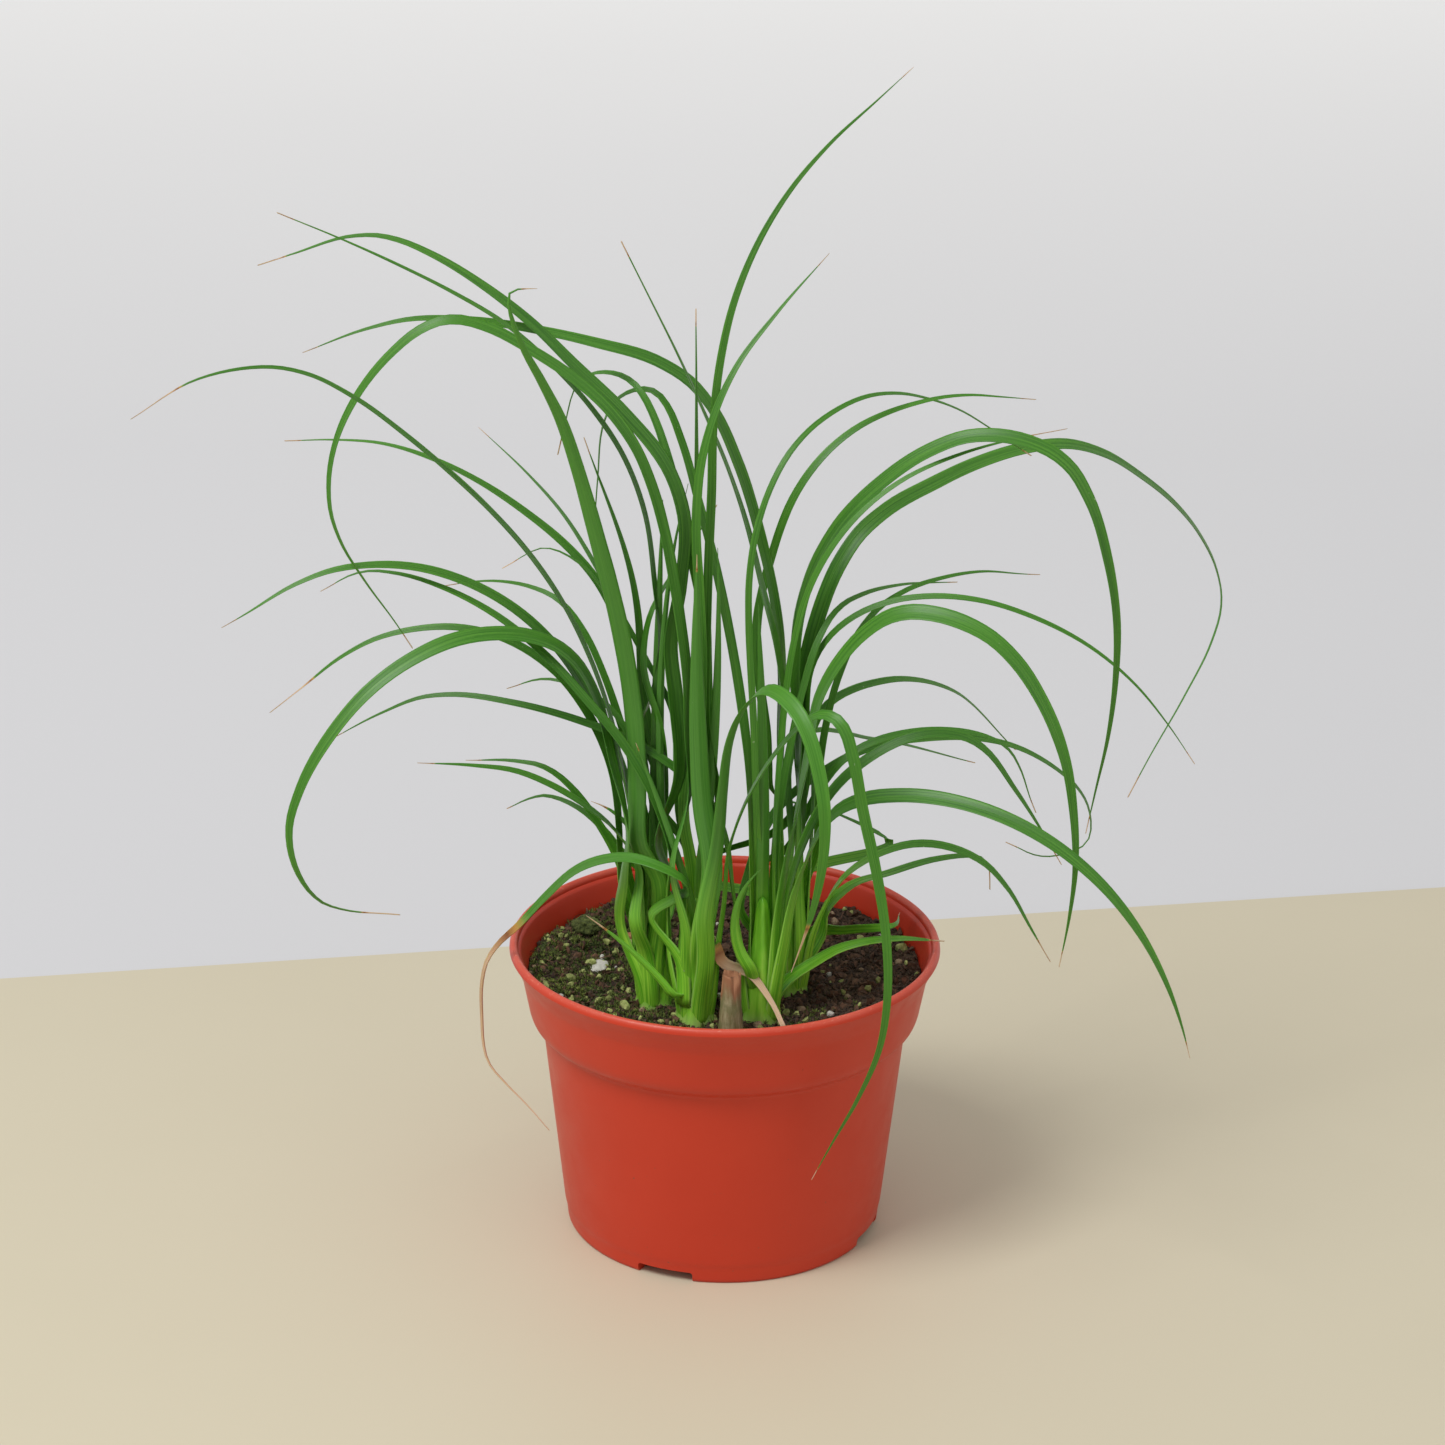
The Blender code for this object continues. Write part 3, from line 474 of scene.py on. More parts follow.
def pot_outline():
    """The pot's outline as (radius, height): up the outside, over the rim and down the inside."""
    floor = pot_surface.ray_cast(Vector((0.0, 0.0, POT_HEIGHT)), -UP)[0].z
    under = pot_surface.ray_cast(Vector((0.0, 0.0, -POT_HEIGHT)), UP)[0].z
    step = POT_HEIGHT / POT_STEPS
    spread = max(1, round(FILLET / step))
    spans, _ = notch_spans()
    angle = spans[0][0] + math.pi / 4.0
    heights = [step * (i + 0.5) for i in range(POT_STEPS)]
    outer = smoothed([pot_radius(angle, z) for z in heights], spread)
    inner_heights = [z for z in heights if z > floor]
    inner = smoothed([pot_radius(angle, z, outside=False) for z in inner_heights], spread)
    ring_inner = outer[0] - FOOT_RING_WIDTH
    outline = [(ring_inner - 1.4 * MM, under), (ring_inner, 0.4 * MM), (ring_inner + 0.4 * MM, 0.0),
               (outer[0] - 0.5 * MM, 0.0)]
    thick = (outer[-1] - inner[-1]) / 2.0
    middle = (outer[-1] + inner[-1]) / 2.0
    start = next(i for i, z in enumerate(heights) if z > 0.4 * MM)
    outline += [(r, z) for r, z in zip(outer[start:-3], heights[start:-3])]
    centre_z = heights[-4]
    for i in range(RIM_STEPS + 1):
        turn = math.pi * i / RIM_STEPS
        rise = (POT_HEIGHT - centre_z) * math.sin(turn)
        outline.append((middle + thick * math.cos(turn), centre_z + rise))
    inside = list(zip(inner, inner_heights))[:-4]
    outline += list(reversed(inside))
    corner = inside[0][0]
    outline += [(corner - 0.5 * MM, floor + 0.05 * MM), (corner - 2.0 * MM, floor)]
    return outline, floor, under


def foot_cutters(material):
    """A wedge for each notch in the foot ring, narrower towards its rounded top."""
    spans, height = notch_spans()
    foot = pot_radius(spans[0][0] + math.pi / 4.0, FOOT_STEP_Z)
    inside, outside = foot - 7.0 * MM, foot + 3.0 * MM
    corners = ((inside, -1), (outside, -1), (outside, 1), (inside, 1))
    levels = ((1.0, -1.0 * MM), (1.0, height - 0.7 * MM), (0.97, height - 0.2 * MM), (0.9, height))
    made = []
    for middle, half in spans:
        rings = [[polar(radius, middle + side * half * share, z) for radius, side in corners]
                 for share, z in levels]
        made.append(tube_solid("notch", rings, material))
    return made


def make_pot():
    material = pot_plastic()
    outline, floor, under = pot_outline()
    points = []
    for radius, z in outline:
        for j in range(POT_COLUMNS):
            points.append(polar(radius, 2.0 * math.pi * j / POT_COLUMNS, z))
    faces = grid_faces(len(outline), POT_COLUMNS)
    for ring, z in ((0, under), (len(outline) - 1, floor)):
        points.append(Vector((0.0, 0.0, z)))
        for j in range(POT_COLUMNS):
            a, b = ring * POT_COLUMNS + j, ring * POT_COLUMNS + (j + 1) % POT_COLUMNS
            faces.append((len(points) - 1, b, a) if ring == 0 else (len(points) - 1, a, b))
    pot = new_piece("pot", points, faces, material)
    recalculate(pot)
    tools = foot_cutters(material)
    for centre, radius, top in drain_holes():
        rings = []
        for z in (under - 1.0 * MM, floor + 1.0 * MM):
            rings.append([centre.xy.to_3d() + polar(radius, 2.0 * math.pi * j / HOLE_COLUMNS, z)
                          for j in range(HOLE_COLUMNS)])
        tools.append(tube_solid("drain", rings, material))
    for tool in tools:
        cut = pot.modifiers.new("cut", "BOOLEAN")
        cut.operation = "DIFFERENCE"
        cut.solver = "EXACT"
        cut.object = tool
    plain_mesh(pot)
    for tool in tools:
        bpy.data.objects.remove(tool)
    wear, dust = [], []
    wall = pot_radius(0.3, 0.5 * POT_HEIGHT)
    for v in pot.data.vertices:
        # Painted highlight along the top of the rim, partly scuff wear; the wobble varies how strong it is.
        rim = float(ramp(v.co.z, POT_HEIGHT - 1.2 * MM, POT_HEIGHT - 0.2 * MM))
        wear.append(rim * (0.65 + 0.35 * wobble(v.co, 9.0 * MM)))
        below_rim = float(ramp(POT_HEIGHT - v.co.z, 2.0 * MM, 9.0 * MM))
        dust.append(below_rim if v.co.xy.length < wall else 0.15)
    set_values(pot, "wear", wear)
    set_values(pot, "dust", dust)
    pot.data.shade_smooth()
    pot.data.set_sharp_from_angle(angle=SHARP_ANGLE)
    return keep(pot, "pot_plastic", "nursery_pot")


# ---------------------------------------------------------------- soil


def moss_share(x, y):
    """Where moss grows: most at the left and the front, a little at the right front."""
    left = float(ramp(-x / POT_REACH, -0.1, 0.45))
    front = float(ramp(-y / POT_REACH, 0.0, 0.6))
    patch = 0.5 + 0.5 * wobble((x, y, 0.0), 11.0 * MM, 2.0)
    return min(1.0, (0.75 * left + 0.45 * front) * (0.45 + 0.9 * patch))


def rough_ground(x, y):
    """The soil's height with its clods and crumbs."""
    place = (x, y, 0.0)
    clods = 1.0 * wobble(place, 5.5 * MM, 1.0) + 0.55 * wobble(place, 2.4 * MM, 2.0)
    crumbs = 0.35 * wobble(place, 1.1 * MM, 3.0) + 0.2 * wobble(place, 0.6 * MM, 4.0)
    return ground(x, y) + (clods + crumbs) * MM


def make_soil():
    material = soil_finish((0.014, 0.009, 0.005), (0.17, 0.10, 0.055))
    rings = []
    angles = [2.0 * math.pi * j / SOIL_COLUMNS for j in range(SOIL_COLUMNS)]
    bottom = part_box("potting_soil")[0].z
    top = [ground(*polar(0.86 * POT_REACH, a).xy) for a in angles]
    for i in range(SOIL_WALL_ROWS):
        share = i / SOIL_WALL_ROWS
        ring = []
        for a, high in zip(angles, top):
            z = bottom + (high - 1.0 * MM - bottom) * share
            ring.append(polar(pot_radius(a, max(z, bottom), outside=False) - SOIL_GAP, a, z))
        rings.append(ring)
    for i in range(SOIL_ROWS):
        share = 1.0 - i / SOIL_ROWS
        ring = []
        for a, high in zip(angles, top):
            radius = (pot_radius(a, high, outside=False) - SOIL_GAP) * share
            x, y, _ = polar(radius, a)
            ring.append(Vector((x, y, rough_ground(x, y))))
        rings.append(ring)
    soil = tube_solid("soil", rings, material)
    recalculate(soil)
    set_values(soil, "moss", [moss_share(v.co.x, v.co.y) for v in soil.data.vertices])
    return keep(soil, "soil", "potting_soil")


def litter_ground():
    """The soil's open surface, on which litter lies: with how mossy it is, and free of the stalks."""
    count = LITTER_GRID
    reach = 0.9 * POT_REACH
    points, open_ground, moss = [], [], []
    stalks = [sum(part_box(n), Vector()) / 2.0 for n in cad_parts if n.startswith(("shoot_", "old_stump"))]
    for i in range(count):
        for j in range(count):
            x, y = reach * (2.0 * i / (count - 1) - 1.0), reach * (2.0 * j / (count - 1) - 1.0)
            z = rough_ground(x, y)
            wall = pot_radius(math.atan2(y, x), z, outside=False) or 0.0
            clear = min(math.hypot(x - s.x, y - s.y) for s in stalks) > STALK_CLEARANCE
            points.append(Vector((x, y, z)))
            open_ground.append(1.0 if clear and math.hypot(x, y) < wall - 0.8 * MM else 0.0)
            moss.append(moss_share(x, y))
    ground_mesh = new_piece("litter_ground", points, grid_faces(count, count, closed=False))
    recalculate(ground_mesh)
    if ground_mesh.data.polygons[0].normal.z < 0.0:
        ground_mesh.data.flip_normals()
    set_values(ground_mesh, "open_ground", open_ground)
    set_values(ground_mesh, "moss", moss)
    return ground_mesh


class Tree:
    """A Geometry Nodes tree under construction, with named inputs."""

    def __init__(self, name):
        self.tree = bpy.data.node_groups.new(name, "GeometryNodeTree")
        self.tree.interface.new_socket("Geometry", in_out="INPUT", socket_type="NodeSocketGeometry")
        self.tree.interface.new_socket("Geometry", in_out="OUTPUT", socket_type="NodeSocketGeometry")
        self.start = self.tree.nodes.new("NodeGroupInput")
        self.end = self.tree.nodes.new("NodeGroupOutput")
        self.names = {}

    def input(self, name, kind):
        socket = self.tree.interface.new_socket(name, in_out="INPUT", socket_type="NodeSocket" + kind)
        self.names[name] = socket.identifier
        return self.start.outputs[name]

    def node(self, kind, values=(), **settings):
        made = self.tree.nodes.new(kind)
        for name, value in settings.items():
            setattr(made, name, value)
        for socket, value in dict(values).items():
            if isinstance(value, bpy.types.NodeSocket):
                self.tree.links.new(value, made.inputs[socket])
            else:
                made.inputs[socket].default_value = value
        return made

    def close(self, geometry):
        self.tree.links.new(geometry, self.end.inputs[0])


def litter_tree():
    """Scatters copies of a shape over the ground, turned and sized at random, and lifts or sinks them."""
    t = Tree("litter")

    def named(name):
        return t.node("GeometryNodeInputNamedAttribute", {"Name": name}, data_type="FLOAT").outputs[0]

    def times(a, b):
        return t.node("ShaderNodeMath", {0: a, 1: b}, operation="MULTIPLY").outputs[0]

    def triple(**values):
        return t.node("ShaderNodeCombineXYZ", values).outputs[0]

    shape, finish = t.input("Shape", "Object"), t.input("Finish", "Material")
    density, seed = t.input("Density", "Float"), t.input("Seed", "Int")
    smallest, largest = t.input("Smallest", "Float"), t.input("Largest", "Float")
    tilt, lift = t.input("Tilt", "Float"), t.input("Lift", "Float")
    mossy, bare = t.input("On Moss", "Float"), t.input("On Bare Soil", "Float")
    cover = t.node("ShaderNodeMix", {0: named("moss"), 2: bare, 3: mossy}, data_type="FLOAT").outputs[0]
    amount = times(times(cover, named("open_ground")), density)
    spots = t.node("GeometryNodeDistributePointsOnFaces",
                   {"Mesh": t.start.outputs[0], "Density": amount, "Seed": seed}).outputs["Points"]
    size = t.node("FunctionNodeRandomValue", {2: smallest, 3: largest, "Seed": seed},
                  data_type="FLOAT").outputs[1]
    low = triple(X=times(tilt, -1.0), Y=times(tilt, -1.0))
    high = triple(X=tilt, Y=tilt, Z=2.0 * math.pi)
    turn = t.node("FunctionNodeRandomValue", {0: low, 1: high, "Seed": seed},
                  data_type="FLOAT_VECTOR").outputs[0]
    placed = t.node("GeometryNodeSetPosition", {"Geometry": spots, "Offset": triple(Z=times(size, lift))})
    info = t.node("GeometryNodeObjectInfo", {"Object": shape, "As Instance": True})
    copies = t.node("GeometryNodeInstanceOnPoints", {
        "Points": placed.outputs[0], "Instance": info.outputs["Geometry"], "Rotation": turn, "Scale": size,
    })
    real = t.node("GeometryNodeRealizeInstances", {"Geometry": copies.outputs[0]})
    done = t.node("GeometryNodeSetMaterial", {"Geometry": real.outputs[0], "Material": finish})
    t.close(done.outputs[0])
    return t


def scatter(host, tree, kind):
    """Lays one kind of litter over the ground, as a plain mesh of its own."""
    piece = bpy.data.objects.new(kind.name, host.data.copy())
    bpy.context.scene.collection.objects.link(piece)
    nodes = piece.modifiers.new("litter", "NODES")
    nodes.node_group = tree.tree
    inputs = {
        "Shape": kind.shape, "Finish": kind.finish, "Density": kind.density, "Seed": kind.seed,
        "Smallest": kind.smallest * MM, "Largest": kind.largest * MM, "Lift": kind.lift, "Tilt": kind.tilt,
        "On Moss": kind.on_moss, "On Bare Soil": kind.on_bare,
    }
    for name, value in inputs.items():
        nodes[tree.names[name]] = value
    plain_mesh(piece)
    piece.data.name = kind.name
    return keep(piece, kind.slot)


def object_of(shape, name):
    """A bmesh as an object, not yet in the scene."""
    mesh = bpy.data.meshes.new(name)
    shape.to_mesh(mesh)
    shape.free()
    return bpy.data.objects.new(name, mesh)


def crumb_shape(name, squash, rough, detail=1):
    """An irregular lump one metre across, which the scatter shrinks to its size."""
    shape = bmesh.new()
    bmesh.ops.create_icosphere(shape, subdivisions=detail, radius=0.5)
    for v in shape.verts:
        v.co *= 1.0 + rough * wobble(v.co, 0.45, squash)
        v.co.z *= squash
    return object_of(shape, name)


def fibre_shape():
    """A bent thread one metre long."""
    points, faces = [], []
    steps, sides = 6, 3
    for i in range(steps + 1):
        share = i / steps
        centre = Vector((share - 0.5, 0.16 * math.sin(4.0 * share), 0.14 * math.sin(math.pi * share)))
        for j in range(sides):
            angle = 2.0 * math.pi * j / sides
            thick = 0.028 * (1.1 - share)
            points.append(centre + Vector((0.0, thick * math.cos(angle), thick * math.sin(angle))))
    faces = grid_faces(steps + 1, sides)
    faces += [tuple(reversed(range(sides))), tuple(range(steps * sides, steps * sides + sides))]
    mesh = bpy.data.meshes.new("fibre")
    mesh.from_pydata(points, [], faces)
    return bpy.data.objects.new("fibre", mesh)


# Corners of a moss leaf's faces: 0 and 1 its two sides, 2 its tip, 3 its foot, 4 the keel under it
MOSS_LEAF_FACES = ((0, 2, 1), (3, 0, 1), (4, 1, 2), (4, 2, 0), (4, 3, 1), (4, 0, 3))


def moss_shape():
    """A tuft of small pointed leaves, one metre high."""
    points, faces = [], []
    count = 7
    for i in range(count):
        angle = 2.4 * i
        lean = 0.25 + 0.6 * (i / count)
        tip = Vector((lean * math.cos(angle), lean * math.sin(angle), 1.0 - 0.45 * lean))
        side = Vector((-math.sin(angle), math.cos(angle), 0.0)) * 0.11
        middle = tip * 0.5 + UP * 0.08
        first = len(points)
        points += [middle + side, middle - side, tip, Vector((0.0, 0.0, -0.1)), middle - UP * 0.06]
        faces += [tuple(first + k for k in corners) for corners in MOSS_LEAF_FACES]
    mesh = bpy.data.meshes.new("tuft")
    mesh.from_pydata(points, [], faces)
    return bpy.data.objects.new("tuft", mesh)


# Density is in pieces to a square metre, and the smallest and largest sizes are in mm.
Litter = namedtuple(
    "Litter", "name slot shape finish density seed smallest largest lift tilt on_moss on_bare"
)
FLAT_TILT = 0.5
ANY_TILT = 3.1


def make_litter():
    host, tree = litter_ground(), litter_tree()
    crumb, chip = crumb_shape("crumb", 0.7, 0.5), crumb_shape("chip", 0.35, 0.6)
    grain, fibre, tuft = crumb_shape("grain", 0.85, 0.35, 2), fibre_shape(), moss_shape()
    dark = grain_finish("peat", (0.020, 0.012, 0.007), (0.13, 0.070, 0.038), 1500.0)
    brown = grain_finish("bark_bits", (0.055, 0.024, 0.012), (0.21, 0.105, 0.055), 1100.0)
    white = grain_finish("perlite", (0.45, 0.43, 0.38), (0.80, 0.78, 0.70), 1500.0, 0.8)
    moss = grain_finish("moss_leaflets", (0.035, 0.060, 0.009), (0.24, 0.30, 0.055), 700.0)
    lime = grain_finish("lime_moss", (0.18, 0.22, 0.05), (0.60, 0.64, 0.24), 900.0)
    tan = grain_finish("tan_grit", (0.20, 0.13, 0.075), (0.46, 0.34, 0.21), 1200.0, 0.8)
    kinds = (
        Litter("peat_crumbs", "soil", crumb, dark, 900000.0, 3, 0.5, 1.7, 0.1, ANY_TILT, 0.8, 1.0),
        Litter("bark_crumbs", "bark", chip, brown, 170000.0, 8, 0.7, 2.6, 0.2, ANY_TILT, 0.8, 1.0),
        Litter("peat_fibres", "bark", fibre, brown, 90000.0, 5, 2.0, 6.5, 0.06, FLAT_TILT, 0.6, 1.0),
        Litter("moss_leaflets", "moss", tuft, moss, 1100000.0, 11, 0.7, 1.9, 0.0, 0.6, 1.0, -0.12),
        Litter("pale_moss", "moss", crumb, lime, 90000.0, 19, 0.5, 1.9, 0.45, ANY_TILT, 1.0, 0.15),
        Litter("grit", "bark", grain, tan, 9000.0, 29, 0.7, 2.4, 0.3, ANY_TILT, 0.8, 1.0),
        Litter("moss_knobs", "moss", grain, lime, 5200.0, 31, 1.4, 3.4, 0.2, ANY_TILT, 1.0, 0.35),
        Litter("perlite_grains", "husk", grain, white, 5200.0, 23, 0.6, 2.1, 0.35, ANY_TILT, 0.9, 0.8),
    )
    for kind in kinds:
        scatter(host, tree, kind)
    bpy.data.objects.remove(host)


# ---------------------------------------------------------------- leaves


def levels_from(start):
    """Points of a welded mesh in steps from one of them, each step's points as a list."""
    seen, level, levels = {start}, [start], []
    while level:
        levels.append(level)
        following = []
        for v in level:
            for edge in v.link_edges:
                other = edge.other_vert(v)
                if other not in seen:
                    seen.add(other)
                    following.append(other)
        level = following
    return levels


def leaf_rings(node):
    """A leaf solid's rings of four points from its base up, and its tip."""
    shape = welded_copy(node)
    for v in shape.verts:
        if len(v.link_edges) != 4:
            continue
        levels = levels_from(v)
        if all(len(level) == 4 for level in levels[1:]):
            rings = [[p.co.copy() for p in level] for level in reversed(levels[1:])]
            tip = v.co.copy()
            shape.free()
            return rings, tip
    raise ValueError(node + " has no leaf rings")


def best_pair(ring, side):
    """The two points of a ring that lie across the blade, and the other two."""
    pairs = [(i, j) for i in range(4) for j in range(4) if i != j]
    def score(pair):
        across = ring[pair[1]] - ring[pair[0]]
        return across.dot(side) if side else across.length
    i, j = max(pairs, key=score)
    rest = [k for k in range(4) if k not in (i, j)]
    return ring[i], ring[j], ring[rest[0]], ring[rest[1]]


def spine_of(node):
    """The spine of a leaf's solid."""
    rings, tip = leaf_rings(node)
    centres, sides, widths = [], [], []
    side = None
    for n, ring in enumerate(rings):
        left, right, a, b = best_pair(ring, side)
        middle = (a + b) / 2.0
        side = (right - left).normalized()
        if n == 0:
            following = sum(rings[1], Vector()) / 4.0
            face = (following - middle).cross(side)
            if face.dot((left + right) / 2.0 - middle) < 0.0:
                side = -side
        centres.append(middle)
        sides.append(side)
        widths.append((right - left).length)
    return Spine(centres + [tip], sides + [side], widths + [0.0])


class Spine:
    """A leaf's centreline, the way across it and its width, from its base to its tip."""

    def __init__(self, centres, sides, widths):
        self.centres = np.array([tuple(p) for p in centres])
        self.sides = np.array([tuple(p) for p in sides])
        self.widths = np.array(widths)
        gaps = np.linalg.norm(np.diff(self.centres, axis=0), axis=1)
        self.runs = np.concatenate([[0.0], np.cumsum(gaps)])

    def extend_down(self, points):
        """The same spine with stations below the first one, in line with it."""
        more = len(points)
        return Spine(list(points) + list(self.centres), [self.sides[0]] * more + list(self.sides),
                     [self.widths[0]] * more + list(self.widths))

    def at(self, values, runs):
        """Smooth values at runs along the leaf, by cubic pieces."""
        t, v = self.runs, values.reshape(len(values), -1)
        slope = np.gradient(v, t, axis=0)
        i = np.clip(np.searchsorted(t, runs, side="right") - 1, 0, len(t) - 2)
        h = (t[i + 1] - t[i])[:, None]
        s = ((runs - t[i])[:, None] / h)
        blend = (2 * s**3 - 3 * s**2 + 1) * v[i] + (s**3 - 2 * s**2 + s) * h * slope[i]
        blend += (-2 * s**3 + 3 * s**2) * v[i + 1] + (s**3 - s**2) * h * slope[i + 1]
        return blend[:, 0] if values.ndim == 1 else blend


def unit(rows):
    return rows / np.maximum(np.linalg.norm(rows, axis=1, keepdims=True), 1e-12)


def make_blade(name, spine, material, sheath=0.0, sheath_width=0.0, dry_length=3.0 * MM, tone=0.5,
               seed=1.0, curl=0.0, cut=False):
    """A leaf as a closed blade: an arched cross-section along the spine, which wraps the stalk at its base.

    sheath is how far up the wrapping reaches, sheath_width how wide the leaf is there, dry_length how much
    of the tip is dry, and tone how light the leaf is. curl is how much more the half angle of the
    cross-section grows by the tip (radians), and cut leaves a square end instead of a point.
    """
    length = spine.runs[-1]
    count = max(20, int(length / STATION_STEP))
    runs = np.linspace(0.0, length, count)
    centres = spine.at(spine.centres, runs)
    along = unit(np.gradient(centres, runs, axis=0))
    sides = spine.at(spine.sides, runs)
    sides = unit(sides - along * np.sum(sides * along, axis=1, keepdims=True))
    roll = np.array([0.05 * wobble((r, 0.0, 0.0), 14.0 * MM, seed) for r in runs])[:, None]
    faces_up = np.cross(along, sides)
    ups = faces_up * np.cos(roll) - sides * np.sin(roll)
    sides = sides * np.cos(roll) + faces_up * np.sin(roll)
    widths = np.maximum(spine.at(spine.widths, runs), NARROWEST)
    ripple = np.array([1.0 + 0.04 * wobble((r, 0.0, 0.0), 9.0 * MM, seed + 3.0) for r in runs])
    widths = widths * ripple
    wrap = np.exp(-((runs / sheath) ** 2)) if sheath else np.zeros(count)
    widths = widths + (sheath_width - widths) * wrap
    angles = CHANNEL_ANGLE + (SHEATH_ANGLE - CHANNEL_ANGLE) * wrap + curl * ramp(runs, 0.5 * length, length)
    from_tip = length - runs
    thick = BLADE_THICKNESS * (0.55 + 0.45 * ramp(from_tip, 0.0, 0.5 * length))
    dry = np.zeros(count)
    if dry_length:
        dry = ramp(dry_length - from_tip, -0.45 * dry_length, 0.25 * dry_length)
    if not cut:
        angles = angles + 0.9 * dry * ramp(from_tip, 0.0, 2.0 * MM)
        widths = widths * (1.0 - 0.3 * dry)
    shares = np.linspace(-1.0, 1.0, BLADE_POINTS)
    columns = 2 * BLADE_POINTS
    young = max(sheath, 20.0 * MM)
    points = np.zeros((count, columns, 3))
    values = {word: np.zeros((count, columns)) for word in
              ("across", "along", "tone", "under", "youth", "margin", "dryness")}
    for k in range(columns):
        top = k < BLADE_POINTS
        u = shares[k] if top else -shares[k - BLADE_POINTS]
        radius = widths / 2.0 / angles
        lateral = radius * np.sin(angles * u)
        rise = radius * (1.0 - np.cos(angles * u))
        skin = EDGE_THICKNESS + (thick - EDGE_THICKNESS) * (1.0 - u * u)
        rib = 0.10 * MM * math.exp(-((u / 0.16) ** 2)) * (1.0 - wrap)
        rib += 0.03 * MM * math.cos(3.0 * math.pi * u) * (1.0 - wrap)
        tilt = (skin / 2.0 - 0.4 * rib) if top else -(skin / 2.0 + rib)
        normal = ups * np.cos(angles * u)[:, None] - sides * np.sin(angles * u)[:, None]
        points[:, k] = centres + sides * lateral[:, None] + ups * rise[:, None] + normal * tilt[:, None]
        values["across"][:, k] = u
        values["along"][:, k] = runs / (10.0 * MM)
        values["tone"][:, k] = tone
        values["under"][:, k] = 0.0 if top else 1.0
        values["youth"][:, k] = 1.0 - ramp(runs, 0.35 * young, 2.1 * young)
        values["margin"][:, k] = wrap * float(ramp(abs(u), 0.8, 1.0)) * 0.7
        values["dryness"][:, k] = dry
    flat = points.reshape(-1, 3)
    faces = grid_faces(count, columns)
    faces.append(tuple(reversed(range(columns))))
    if cut:
        faces.append(tuple(range((count - 1) * columns, count * columns)))
    else:
        flat = np.vstack([flat, spine.centres[-1] + along[-1] * 0.3 * MM])
        last = (count - 1) * columns
        faces += [(len(flat) - 1, last + j, last + (j + 1) % columns) for j in range(columns)]
    piece = new_piece(name, flat, faces, material)
    for word, grid in values.items():
        full = grid.ravel() if cut else np.append(grid.ravel(), grid[-1, 0])
        set_values(piece, word, full)
    recalculate(piece)
    return piece


# Length of dry tip on the leaves that have a long one (mm)
DRY_TIPS = {
    "leaf_a02": 11, "leaf_a03": 3, "leaf_a04": 3, "leaf_a09": 12, "leaf_a10": 8, "leaf_b01": 6,
    "leaf_b11": 3, "leaf_b12": 13, "leaf_c04": 8, "leaf_c08": 3, "leaf_d04": 4, "leaf_d05": 5,
    "leaf_d12": 6, "leaf_d13": 5,
}
# How light or dark the leaves are that stand out (0 dark, 1 light)
TONES = {
    "leaf_a02": 0.25, "leaf_a04": 0.9, "leaf_b01": 0.2, "leaf_b03": 0.05, "leaf_b05": 0.3, "leaf_b08": 0.75,
    "leaf_b11": 0.8, "leaf_b12": 0.95, "leaf_c02": 0.1, "leaf_c05": 0.6, "leaf_c08": 0.35, "leaf_d02": 0.35,
}


def stalk_of(node):
    """The middle of a leaf's own shoot at the soil, and the shoot's radius there."""
    low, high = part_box("shoot_" + node[5])
    centre = (low + high) / 2.0
    return Vector((centre.x, centre.y, ground(centre.x, centre.y))), (high.x - low.x) / 2.6


def make_leaves():
    material = leaf_finish()
    leaves = sorted(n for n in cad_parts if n.startswith("leaf_"))
    for number, node in enumerate(leaves):
        spine = spine_of(node)
        foot, radius = stalk_of(node)
        base = Vector(spine.centres[0])
        away = Vector((base.x - foot.x, base.y - foot.y, 0.0))
        rise = base.z - foot.z
        start = max(-1.5 * MM, rise - 15.0 * MM)
        steps = max(1, round((rise - start) / (4.0 * MM)))
        grip_share = 0.9 if start < 0 else 0.4  # how close to the stalk its lowest point comes
        below = []
        for i in range(steps):
            h = start + (rise - start) * i / steps
            down = 1.0 - (h - start) / (rise - start)
            hold = away.length + (0.98 * radius - away.length) * down * grip_share
            below.append(Vector((foot.x, foot.y, foot.z + h)) + away.normalized() * hold)
        spine = spine.extend_down(below)
        chance = 0.5 + 0.5 * wobble((number * 3.7, 1.0, 0.0), 1.0)
        grip = SHEATH_SHARE * math.pi * radius
        piece = make_blade("blade_" + node[5:], spine, material, sheath=SHEATH_LENGTH,
                           sheath_width=grip, dry_length=DRY_TIPS.get(node, 1.5 + 2.5 * chance) * MM,
                           tone=TONES.get(node, 0.15 + 0.7 * chance), seed=float(number))
        keep(piece, "leaf", node)


